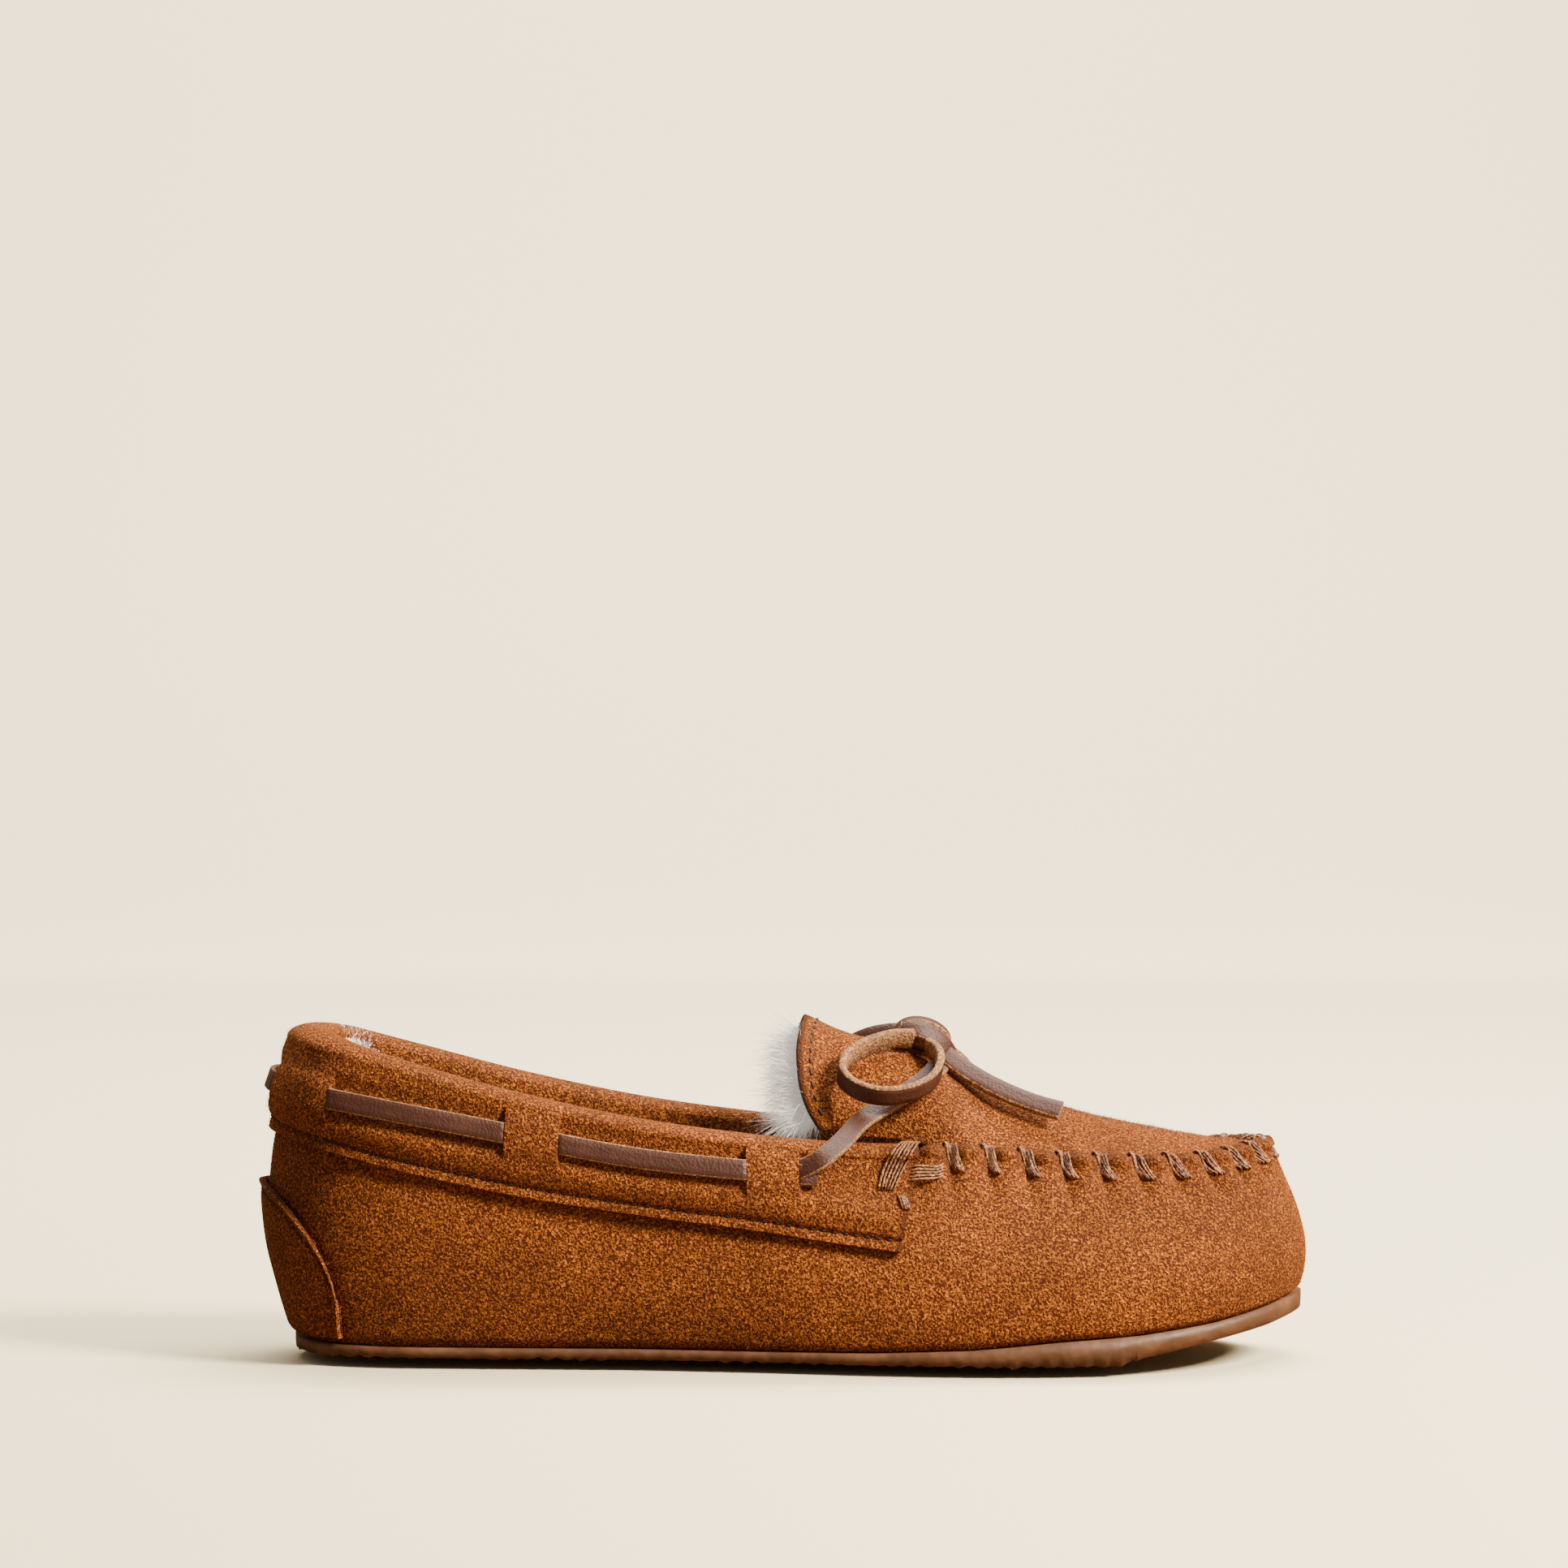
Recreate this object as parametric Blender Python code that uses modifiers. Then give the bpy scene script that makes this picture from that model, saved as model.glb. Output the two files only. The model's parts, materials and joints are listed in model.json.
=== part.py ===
"""A fur-lined suede moccasin slipper, right foot, as separate pieces.

Toe along +X, outer (lateral) side along -Y, up +Z, the sole's flat underside at z = 0.
Every length below is in millimetres and every angle in degrees.
"""
import math

import bmesh
import bpy
import numpy as np
from mathutils import Matrix, Vector

MM = 0.001
GAP = 0.3  # clearance between neighbouring solids
HEEL_X = -126.94  # puts the middle of the shoe's length at x = 0
CENTRE_Y = 1.46  # moves the whole shoe so that its box is centred

# Leather, fur cloth and filling, as thicknesses
SUEDE = 1.6
COLLAR_SUEDE = 1.2
COUNTER = 0.8
FUR_CLOTH = 1.3
PADDING = 1.3
LACE_WIDTH = 5.0
LACE_THICK = 1.2
BOARD = 1.5
FOAM = 4.0
SOCK = 2.2
THREAD = 0.45  # radius of the seam threads
WHIP_THREAD = 0.8  # radius of the bundled whip stitch

# One row a station, from the heel's back to the tip of the toe:
# feather line x, z, lateral and medial half widths,
# top line x, z, lateral and medial half widths, bulge, height of the fullest point
STATIONS = (
    (9.5, 4.0, 0.0, 0.0, 11.5, 75.6, 0.0, 0.0, 8.0, 1.00),
    (15.0, 3.6, 18.0, 17.5, 19.0, 73.8, 19.5, 19.5, 6.5, 0.95),
    (32.0, 3.3, 26.0, 25.0, 37.0, 68.6, 27.5, 27.5, 5.0, 0.90),
    (61.0, 3.3, 28.5, 26.0, 63.0, 61.6, 30.0, 30.0, 4.5, 0.85),
    (92.0, 3.3, 30.5, 27.0, 92.0, 55.4, 31.5, 31.0, 4.0, 0.80),
    (122.0, 3.3, 35.0, 31.0, 120.0, 51.5, 31.5, 31.0, 4.0, 0.80),
    (148.0, 3.6, 40.5, 36.0, 145.0, 49.3, 30.0, 29.5, 5.0, 0.80),
    (172.0, 4.6, 43.8, 39.5, 170.0, 48.6, 28.0, 27.5, 6.0, 0.76),
    (193.0, 6.6, 43.8, 40.5, 189.0, 47.0, 28.0, 27.5, 6.5, 0.76),
    (212.0, 7.8, 40.3, 38.0, 207.0, 46.2, 27.5, 27.5, 6.5, 0.76),
    (230.0, 9.9, 32.3, 32.5, 224.0, 46.0, 23.5, 24.5, 6.0, 0.76),
    (244.5, 12.4, 18.0, 20.5, 238.0, 47.0, 14.0, 17.0, 5.0, 0.76),
    (252.5, 14.0, -2.0, 2.0, 246.0, 48.2, -2.0, 2.0, 4.2, 0.76),
)
TOE = len(STATIONS) - 1
RING = 2 * TOE

# Heel collar: height of its lower edge and depth of the lace below the crest, by station
COLLAR_EDGE = (54.0, 51.6, 46.5, 40.6, 36.0, 32.4, 28.8, 26.0)
LACE_DEPTH = (12.8, 13.0, 11.5, 9.6, 8.8, 8.0, 7.6, 7.4)
COLLAR_END = 6.42
COLLAR_FULL = 3.4  # how far the padded skin stands off the wrap
COLLAR_FACING = 10.0  # how far the skin reaches down inside
LINING_OFF = 3.6
COUNTER_OFF = 2.3
LINING_FOOT = 11.4  # the side lining starts this far above the feather line
SLITS = (0.42, 1.1, 2.9, 3.4, 4.95, 5.45)  # stations where the lace passes through the collar
SLIT_LENGTH = 8.4
SLIT_DEPTH = 8.0
SLIT_SPARE = 1.8  # how much taller than the lace a slot is
SLIT_STEEP = 60.0  # how sharply the lace dives through a slit

SOLE_MARGIN = 1.0
FOOT_INSET = 2.6
SOLE_RISE = ((207.0, 0.0), (212.0, 2.6), (230.0, 5.6), (244.0, 7.9), (255.0, 10.2))

# Tongue: centreline x, z, half width, height of its side edges
TONGUE = (
    (176.8, 64.0, 24.6, 48.0),
    (170.0, 67.4, 24.0, 47.8),
    (163.0, 70.8, 22.2, 48.6),
    (154.0, 73.8, 20.6, 49.6),
    (144.0, 76.2, 20.4, 50.4),
    (132.5, 80.2, 21.6, 52.0),
)
CREASE_X = 177.5
APRON_CROWN = ((177.5, 63.4), (188.0, 60.4), (203.0, 56.4), (217.0, 53.4), (232.0, 50.6))
STITCHES = 24

KNOT = (161.0, 0.0, 75.9)
KNOT_SIZE = (15.0, 12.0, 7.0)
KNOT_TILT = 14.4

# Routes of the lace's free stretches, lateral side; the other side mirrors in Y
SPAN_ROUTE = (
    (136.8, -38.6, 46.0), (138.6, -38.4, 49.4), (140.4, -36.6, 52.8), (142.8, -32.0, 55.0),
    (145.4, -27.0, 57.2), (149.0, -23.6, 60.0), (152.6, -20.8, 63.2), (155.4, -17.6, 66.6),
    (157.4, -13.6, 70.0),
)
LOOP_ROUTE = (
    (158.4, -7.9, 76.6), (153.0, -9.6, 76.8), (146.6, -12.6, 75.2), (142.4, -16.6, 72.0),
    (142.0, -20.8, 68.4), (145.4, -24.6, 65.4), (151.4, -26.7, 64.0), (158.0, -25.3, 65.0),
    (163.2, -21.2, 67.8), (165.2, -16.2, 71.0), (164.6, -11.6, 73.4), (162.2, -7.9, 74.9),
)
LOOP_AXIS = (0.12, -0.54, 0.83)
TAIL_LATERAL = (
    (169.8, -5.6, 71.8), (171.8, -8.0, 69.6), (175.0, -10.0, 67.2), (179.0, -11.8, 65.0),
    (183.8, -13.6, 62.8), (188.8, -15.2, 61.0), (194.0, -16.6, 59.6),
)
TAIL_MEDIAL = (
    (169.8, 5.4, 71.8), (171.2, 9.0, 70.2), (172.8, 13.0, 68.0), (174.6, 17.2, 65.0),
    (176.2, 21.2, 61.4), (177.6, 24.8, 57.4), (178.8, 28.0, 53.6),
)

COLUMNS = 2  # grid columns between stations


def smooth(rows, place):
    """Catmull-Rom value of a closed list of rows at a fractional index."""
    base = math.floor(place)
    t = place - base
    a, b, c, d = (rows[(base + k) % len(rows)] for k in (-1, 0, 1, 2))
    return 0.5 * (2 * b + (c - a) * t + (2 * a - 5 * b + 4 * c - d) * t ** 2 + (3 * b - a - 3 * c + d) * t ** 3)


def ring_rows():
    """The stations as a closed ring: heel, lateral side, toe, medial side."""
    rows = []
    for place in range(RING):
        medial = place > TOE
        fx, fz, fl, fm, tx, tz, tl, tm, bulge, peak = STATIONS[RING - place if medial else place]
        foot_y, top_y = (fm, tm) if medial else (-fl, -tl)
        rows.append(np.array((fx, foot_y, fz, tx, top_y, tz, bulge, peak)))
    return rows


ROWS = ring_rows()


def outward(u):
    """Horizontal unit normal of the shoe's side at station u."""
    before, after = smooth(ROWS, u - 0.05), smooth(ROWS, u + 0.05)
    dx = after[0] + after[3] - before[0] - before[3]
    dy = after[1] + after[4] - before[1] - before[4]
    length = math.hypot(dx, dy)
    return np.array((dy / length, -dx / length, 0.0))


def wall(u, v, off=0.0):
    """Point of the wrap's outer face: v runs 0 at the feather line to 1 at the top line."""
    row = smooth(ROWS, u)
    foot, top, bulge, peak = row[0:3], row[3:6], row[6], row[7]
    swell = bulge * math.sin(math.pi * max(v, 0.0) ** peak) if v < 1 else 0.0
    return foot + (top - foot) * v + outward(u) * (swell + off)


def by_station(values, u):
    """Smooth value at station u of a list given for the heel and forward of it."""
    place = abs(u)
    mirrored = tuple(reversed(values[1:])) + tuple(values)
    rows = mirrored + (values[-1],)
    return smooth(rows, place + len(values) - 1)


def height_at(u, z):
    """The v at which the wall reaches height z."""
    row = smooth(ROWS, u)
    return (z - row[2]) / (row[5] - row[2])


def collar_outer(u, t, lift=0.0):
    """Collar's outer face: t runs 0 at the lower edge, 1 at the wrap's top line,
    2 over the crest and 3 at the end of the inner facing."""
    low = height_at(u, by_station(COLLAR_EDGE, u))
    full = GAP + COLLAR_FULL + COLLAR_SUEDE
    if t <= 1:
        stand = GAP + COLLAR_SUEDE + COLLAR_FULL * math.sin(math.pi / 2 * min(1, t / 0.35))
        return wall(u, low + (1 - low) * t, stand + lift)
    inner = -(LINING_OFF + FUR_CLOTH + GAP + COLLAR_SUEDE)
    crest = GAP + SUEDE + COLLAR_SUEDE
    if t <= 2:
        turn = (t - 1) * math.pi
        middle, half = (full + inner) / 2, (full - inner) / 2 + lift
        side = wall(u, 1, middle + half * math.cos(turn))
        return side + np.array((0, 0, (crest + lift) * math.sin(turn)))
    side = wall(u, 1, inner - lift)
    return side - np.array((0, 0, COLLAR_FACING * (t - 2)))


def lace_t(u):
    """Height of the lace's centre on the collar, as the collar's t."""
    row = smooth(ROWS, u)
    edge = by_station(COLLAR_EDGE, u)
    depth = by_station(LACE_DEPTH, u) - (GAP + SUEDE + COLLAR_SUEDE)
    return 1 - depth / (row[5] - edge)


def lace_off(u):
    """How far the lace's outer face stands off the wrap: outside the skin or in its tunnel."""
    tunnel = GAP + 0.1 + PADDING + GAP + LACE_THICK
    outside = GAP + COLLAR_FULL + COLLAR_SUEDE + GAP + LACE_THICK
    here = abs(u)
    out = 1.0
    for k, slit in enumerate(SLITS):
        turn = 1 / (1 + math.exp(-(here - slit) * SLIT_STEEP))
        out += -turn if k % 2 == 0 else turn
    return tunnel + (outside - tunnel) * out


def spine(rows_x, x):
    """Height of a centreline at x, from its listed points."""
    xs = [row[0] for row in rows_x]
    zs = [row[1] for row in rows_x]
    if xs[0] > xs[-1]:
        xs, zs = xs[::-1], zs[::-1]
    return float(np.interp(x, xs, zs))


def middle_y(u):
    """Middle of the shoe's width at station u, on the feather line."""
    return (smooth(ROWS, u)[1] + smooth(ROWS, RING - u)[1]) / 2


# ---------------------------------------------------------------- Blender helpers

def clear_scene():
    for item in list(bpy.data.objects):
        bpy.data.objects.remove(item)


def collection(name):
    group = bpy.data.collections.new(name)
    bpy.context.scene.collection.children.link(group)
    return group


def material(name, colour, roughness, metallic=0.0):
    made = bpy.data.materials.new(name)
    made.use_nodes = True
    shader = made.node_tree.nodes["Principled BSDF"]
    shader.inputs["Base Color"].default_value = (*colour, 1.0)
    shader.inputs["Roughness"].default_value = roughness
    shader.inputs["Metallic"].default_value = metallic
    made.diffuse_color = (*colour, 1.0)
    return made


def place(point):
    """A shoe point in millimetres as a world point in metres."""
    return ((point[0] + HEEL_X) * MM, (point[1] + CENTRE_Y) * MM, point[2] * MM)


def mesh_object(name, bm, group, look, origin=None):
    """Object from a bmesh built in world metres, with its origin at a chosen point."""
    start = place(origin) if origin is not None else (0.0, 0.0, 0.0)
    bmesh.ops.translate(bm, verts=bm.verts, vec=[-c for c in start])
    mesh = bpy.data.meshes.new(name)
    bm.to_mesh(mesh)
    bm.free()
    item = bpy.data.objects.new(name, mesh)
    item.location = start
    group.objects.link(item)
    if look:
        mesh.materials.append(look)
    mesh.shade_smooth()
    return item


def grid_mesh(rows, closed=False):
    """Quads over rows of points; points that meet become one."""
    bm = bmesh.new()
    verts = [[bm.verts.new(place(point)) for point in row] for row in rows]
    across = len(rows[0]) if closed else len(rows[0]) - 1
    for low, high in zip(verts, verts[1:]):
        for k in range(across):
            j = (k + 1) % len(low)
            bm.faces.new((low[k], low[j], high[j], high[k]))
    bmesh.ops.remove_doubles(bm, verts=bm.verts, dist=0.00002)
    return bm


def shell(name, rows, thick, group, look, closed=False, origin=None):
    """An open surface given thickness on its inner side."""
    item = mesh_object(name, grid_mesh(rows, closed), group, look, origin)
    solidify = item.modifiers.new("thickness", "SOLIDIFY")
    solidify.thickness = thick * MM
    solidify.offset = -1
    solidify.use_even_offset = True
    return item


def stations(start, end, columns=COLUMNS):
    count = max(2, round((end - start) * columns)) + 1
    return [start + (end - start) * k / (count - 1) for k in range(count)]


def ring_stations():
    return [k / COLUMNS for k in range(RING * COLUMNS)]


def tube(name, route, radius, group, look, origin=None, sides=2):
    """A thread or cord as a bevelled poly curve with filled caps, made a mesh."""
    data = bpy.data.curves.new(name, "CURVE")
    data.dimensions = "3D"
    data.bevel_depth = radius * MM
    data.bevel_resolution = sides
    data.use_fill_caps = True
    line = data.splines.new("POLY")
    line.points.add(len(route) - 1)
    for knot, point in zip(line.points, route):
        knot.co = (*place(point), 1.0)
    guide = bpy.data.objects.new(name + "_curve", data)
    group.objects.link(guide)
    bpy.context.view_layer.update()
    made = bpy.data.meshes.new_from_object(guide.evaluated_get(bpy.context.evaluated_depsgraph_get()))
    bpy.data.objects.remove(guide)
    bm = bmesh.new()
    bm.from_mesh(made)
    bmesh.ops.remove_doubles(bm, verts=bm.verts, dist=0.000001)
    return mesh_object(name, bm, group, look, origin)


def curve_through(points, steps):
    """Points along a smooth curve through the listed ones."""
    points = [np.array(p, float) for p in points]
    ends = [2 * points[0] - points[1]] + points + [2 * points[-1] - points[-2]]
    made = []
    for k in range(len(points) - 1):
        for step in range(steps):
            made.append(smooth(ends, k + 1 + step / steps))
    return made + [points[-1]]


def strap(name, route, across, group, look, origin=None, steps=2):
    """The flat lace along a route: a strip of its width given its thickness."""
    points = curve_through(route, steps)
    low, high = [], []
    for k, point in enumerate(points):
        tangent = points[min(k + 1, len(points) - 1)] - points[max(k - 1, 0)]
        tangent /= np.linalg.norm(tangent)
        side = across(point, tangent)
        side -= tangent * side.dot(tangent)
        side *= LACE_WIDTH / 2 / np.linalg.norm(side)
        low.append(point - side)
        high.append(point + side)
    item = mesh_object(name, grid_mesh([low, high]), group, look, origin)
    solidify = item.modifiers.new("thickness", "SOLIDIFY")
    solidify.thickness = LACE_THICK * MM
    solidify.offset = 0
    return item


def mirrored(points):
    return tuple((x, -y, z) for x, y, z in points)


# ---------------------------------------------------------------- sole and footbed

def fan(u, inset, z_of, reach):
    """Edge point and middle point of a flat layer at station u."""
    row = smooth(ROWS, u)
    edge = row[0:3] - outward(u) * inset
    edge[2] = z_of(u, edge[0])
    x = min(max(row[0], reach[0]), reach[1])
    middle = np.array((x, middle_y(u), 0.0))
    middle[2] = z_of(u, x)
    return edge, middle


def slab(name, inset, low_of, high_of, group, look, reach=(34.0, 224.0)):
    """A closed layer of the shoe's plan, inset from the feather line."""
    places = ring_stations()
    low = [fan(u, inset, low_of, reach) for u in places]
    high = [fan(u, inset, high_of, reach) for u in places]
    rows = [[p[1] for p in low], [p[0] for p in low], [p[0] for p in high], [p[1] for p in high]]
    return mesh_object(name, grid_mesh(rows, closed=True), group, look)


def feather_z(u, x):
    """Height of the feather line at x."""
    xs = [row[0] for row in STATIONS]
    zs = [row[1] for row in STATIONS]
    return float(np.interp(x, xs, zs))


def layer(offset):
    return lambda u, x: feather_z(u, x) + offset


def tread_z(u, x):
    return spine(SOLE_RISE, x)


def build_bottom(group, looks):
    slab("outsole", -SOLE_MARGIN, tread_z, layer(-GAP), group, looks["gum_rubber"])
    board = SUEDE + GAP
    slab("insole_board", FOOT_INSET, layer(board), layer(board + BOARD), group, looks["fibre_board"])
    foam = board + BOARD + GAP
    slab("footbed_foam", FOOT_INSET, layer(foam), layer(foam + FOAM), group, looks["foam"])
    sock = foam + FOAM + GAP
    slab("sock_fur", FOOT_INSET, layer(sock), layer(sock + SOCK), group, looks["fur"])


# ---------------------------------------------------------------- upper

def build_wrap(group, looks):
    """The suede wrap: under the foot, round the feather line and up to the top line."""
    places = ring_stations()
    under = [fan(u, 0.0, layer(0.0), (30.0, 228.0)) for u in places]
    rows = [[p[1] for p in under]]
    rows += [[wall(u, v) for u in places] for v in (0.0, 0.06, 0.2, 0.4, 0.6, 0.8, 1.0)]
    shell("body_wrap", rows, SUEDE, group, looks["suede"], closed=True)


def build_linings(group, looks):
    places = ring_stations()
    low = [height_at(u, smooth(ROWS, u)[2] + LINING_FOOT) for u in places]
    rows = [[wall(u, v + (0.88 - v) * t, -LINING_OFF) for u, v in zip(places, low)]
            for t in (0.0, 0.3, 0.65, 1.0)]
    shell("body_lining_fur", rows, FUR_CLOTH, group, looks["fur"], closed=True)
    span = stations(-2.5, 2.5)
    rows = [[wall(u, v, -COUNTER_OFF) for u in span] for v in (0.08, 0.3, 0.5, 0.62)]
    shell("heel_counter", rows, COUNTER, group, looks["fibre_board"])


def patch_top(q):
    """Height of the heel patch's arched border, q running -1 to 1 across it."""
    return 5.0 + 36.4 * math.sqrt(max(0.0, 1 - q * q)) ** 0.9


def build_heel_patch(group, looks):
    reach = 1.5
    across = [q / 8 for q in range(-8, 9)]
    off = SUEDE + GAP + 0.1
    rows = []
    for step in range(5):
        row = []
        for q in across:
            u = q * reach
            top = height_at(u, patch_top(q * 0.98))
            row.append(wall(u, 0.02 + (top - 0.02) * step / 4, off))
        rows.append(row)
    shell("heel_patch", rows, SUEDE, group, looks["suede"])
    route = []
    for q in [k / 14 for k in range(-14, 15)]:
        u = q * (reach - 0.1)
        top = height_at(u, max(patch_top(q * 0.98) - 2.2, 5.0))
        route.append(wall(u, top, off + GAP + THREAD))
    tube("heel_patch_thread", route, THREAD, group, looks["thread"])


def build_collar(group, looks, cutters):
    span = stations(-COLLAR_END, COLLAR_END, 4)
    steps = (0.0, 0.15, 0.35, 0.7, 1.0, 1.25, 1.5, 1.75, 2.0, 3.0)
    rows = [[collar_outer(u, t) for u in span] for t in steps]
    collar = shell("heel_collar", rows, COLLAR_SUEDE, group, looks["suede"])
    for side in (-1, 1):
        for k, slit in enumerate(SLITS):
            cutter = slit_cutter(side * slit, f"slit_{'lateral' if side > 0 else 'medial'}_{k}", cutters)
            cut = collar.modifiers.new("slit", "BOOLEAN")
            cut.object = cutter
            cut.operation = "DIFFERENCE"
            cut.solver = "EXACT"
    low = [height_at(u, by_station(COLLAR_EDGE, u)) for u in span]
    rows = [[wall(u, v + (1 - v) * t, GAP + 0.1 + PADDING) for u, v in zip(span, low)]
            for t in (0.22, 0.6, 0.97)]
    shell("collar_padding", rows, PADDING, group, looks["foam"])
    route = [collar_outer(u, 0.12, GAP + THREAD) for u in stations(-COLLAR_END + 0.05, COLLAR_END - 0.05, 3)]
    tube("collar_seam_thread", route, THREAD, group, looks["thread"])


def slit_cutter(u, name, group):
    """A block through the collar's skin where the lace passes."""
    bm = bmesh.new()
    bmesh.ops.create_cube(bm, size=1.0)
    size = (SLIT_LENGTH * MM, SLIT_DEPTH * MM, (LACE_WIDTH + SLIT_SPARE) * MM)
    bmesh.ops.scale(bm, vec=size, verts=bm.verts)
    item = mesh_object(name, bm, group, None)
    item.location = place(collar_outer(u, lace_t(u), -COLLAR_SUEDE / 2))
    along = collar_outer(u + 0.1, lace_t(u + 0.1)) - collar_outer(u - 0.1, lace_t(u - 0.1))
    along = Vector(along).normalized()
    normal = Vector(outward(u))
    up = along.cross(normal).normalized()
    axes = Matrix((along, up.cross(along), up)).transposed()
    item.rotation_euler = axes.to_euler()
    item.hide_render = True
    item.display_type = "WIRE"
    return item


def build_lace_run(group, looks):
    """The lace held by the collar, from its last slit round the heel to the other one."""
    reach = SLITS[-1] + 0.12
    span = stations(-reach, reach, 12)
    rows = []
    for half in (-1, 1):
        row = []
        for u in span:
            height = smooth(ROWS, u)[5] - by_station(COLLAR_EDGE, u)
            t = lace_t(u) + half * LACE_WIDTH / 2 / height
            low = height_at(u, by_station(COLLAR_EDGE, u))
            row.append(wall(u, low + (1 - low) * t, lace_off(u)))
        rows.append(row)
    shell("lace", rows, LACE_THICK, group, looks["leather_lace"])


def seam_point(u, off=0.0):
    return wall(u, 1.0, off)


def apron_point(u, r, depth=0.0):
    """Apron's outer face: r runs 0 at the seam to 1 on the crown."""
    edge = seam_point(u, -(SUEDE + GAP))
    x = min(max(smooth(ROWS, u)[3], CREASE_X), 232.0)
    middle = (smooth(ROWS, u)[4] + smooth(ROWS, RING - u)[4]) / 2
    crown = np.array((x, middle, spine(APRON_CROWN, x)))
    flat = edge + (crown - edge) * r
    rise = (crown[2] - edge[2]) * (math.sin(math.pi / 2 * r) ** 0.95 - r)
    return flat + np.array((0.0, 0.0, rise - depth))


APRON_START = 7.42


def build_apron(group, looks):
    span = stations(APRON_START, RING - APRON_START)
    rows = [[apron_point(u, r) for u in span] for r in (0.0, 0.12, 0.3, 0.55, 0.8, 1.0)]
    shell("apron", rows, SUEDE, group, looks["suede"])
    span = stations(APRON_START + 0.05, RING - APRON_START - 0.05)
    rows = [[apron_point(u, r, SUEDE + 0.9) for u in span] for r in (0.24, 0.45, 0.75, 1.0)]
    shell("apron_lining_fur", rows, FUR_CLOTH, group, looks["fur"])


def build_whip_stitch(group, looks):
    """One thread that climbs over the seam's ridge at each stitch."""
    route = []
    start = APRON_START + 0.02
    reach = (RING - 2 * start) / STITCHES
    lift = GAP + WHIP_THREAD + 0.15
    for k in range(STITCHES):
        u = start + reach * k
        route.append(wall(u, 0.93, lift))
        route.append(wall(u + 0.2 * reach, 1.0, 0.5) + np.array((0, 0, lift)))
        route.append(apron_point(u + 0.4 * reach, 0.12) + np.array((0, 0, lift + 0.9)))
        route.append(apron_point(u + 0.6 * reach, 0.12) + np.array((0, 0, lift + 0.9)))
        route.append(wall(u + 0.8 * reach, 1.0, 0.5) + np.array((0, 0, lift)))
    tube("apron_whip_thread", route, WHIP_THREAD, group, looks["thread"], sides=1)


def tongue_point(s, q, depth=0.0):
    """Tongue's outer face: s runs 0 at the crease to 5 at the rear edge, q -1 to 1 across."""
    rows = [np.array(row) for row in TONGUE]
    ends = [2 * rows[0] - rows[1]] + rows + [2 * rows[-1] - rows[-2]]
    x, crown, half, side = smooth(ends, s + 1)
    turn = q * math.radians(84)
    rise = crown - side
    point = np.array((x, (half - depth) * math.sin(turn), side + (rise - depth) * math.cos(turn)))
    point[0] -= 2.0 * (1 - math.cos(turn)) * s / 5
    return point


def build_tongue(group, looks):
    hinge = (CREASE_X, 0.0, 64.0)
    reach = [k / 2 for k in range(11)]
    across = [k / 7 for k in range(-7, 8)]
    rows = [[tongue_point(s, q) for q in across] for s in reach]
    shell("tongue", rows, SUEDE, group, looks["suede"], origin=hinge)
    reach = [0.3 + 4.95 * k / 8 for k in range(9)]
    rows = [[tongue_point(s, q * 0.96, SUEDE + GAP) for q in across] for s in reach]
    shell("tongue_fur", rows, FUR_CLOTH, group, looks["fur"], origin=hinge)
    route = [tongue_point(4.72, q / 12, -(GAP + THREAD)) for q in range(-11, 12)]
    tube("tongue_edge_thread", route, THREAD, group, looks["thread"], origin=hinge)


# ---------------------------------------------------------------- lace bow and tacks

def build_bow(group, looks):
    bm = bmesh.new()
    bmesh.ops.create_cube(bm, size=1.0)
    bmesh.ops.scale(bm, vec=[length * MM for length in KNOT_SIZE], verts=bm.verts)
    knot = mesh_object("bow_knot", bm, group, looks["leather_lace"])
    knot.location = place(KNOT)
    knot.rotation_euler = (0, math.radians(KNOT_TILT), 0)
    bevel = knot.modifiers.new("rounding", "BEVEL")
    bevel.width = 2.2 * MM
    bevel.segments = 3

    def flat_on_top(point, tangent):
        up = np.array((0.25, -0.55 if point[1] < 0 else 0.55, 0.8))
        return np.cross(tangent, up)

    def on_side(point, tangent):
        return np.cross(tangent, np.array((0.1, -0.9 if point[1] < 0 else 0.9, 0.45)))

    for side, label in ((1, "lateral"), (-1, "medial")):
        axis = np.array((LOOP_AXIS[0], LOOP_AXIS[1] * side, LOOP_AXIS[2]))
        span = SPAN_ROUTE if side > 0 else mirrored(SPAN_ROUTE)
        loop = LOOP_ROUTE if side > 0 else mirrored(LOOP_ROUTE)
        tail = TAIL_LATERAL if side > 0 else TAIL_MEDIAL
        strap(f"lace_span_{label}", span, on_side, group, looks["leather_lace"])
        strap(f"lace_loop_{label}", loop, lambda point, tangent: axis.copy(), group, looks["leather_lace"],
              origin=loop[0])
        strap(f"lace_tail_{label}", tail, flat_on_top, group, looks["leather_lace"], origin=tail[0])


def build_tacks(group, looks):
    """Bundled stitches that hold each front end of the collar down on the seam."""
    for side, label in ((1, "lateral"), (-1, "medial")):
        places = [side * u for u in (6.12, 6.2, 6.28)]
        if side < 0:
            places.reverse()
        steps = (0.55, 0.8, 1.0, 1.2, 1.4, 1.6)
        rows = [[collar_outer(u, t, GAP + 1.0) for u in places] for t in steps]
        shell(f"collar_tack_{label}", rows, 1.0, group, looks["thread"])


def build_materials():
    return {
        "suede": material("suede", (0.50, 0.23, 0.085), 0.92),
        "fur": material("fur", (0.80, 0.77, 0.72), 0.95),
        "leather_lace": material("leather_lace", (0.10, 0.045, 0.025), 0.5),
        "thread": material("thread", (0.42, 0.22, 0.10), 0.7),
        "gum_rubber": material("gum_rubber", (0.36, 0.20, 0.09), 0.55),
        "fibre_board": material("fibre_board", (0.45, 0.36, 0.26), 0.85),
        "foam": material("foam", (0.75, 0.72, 0.62), 0.9),
    }


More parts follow.
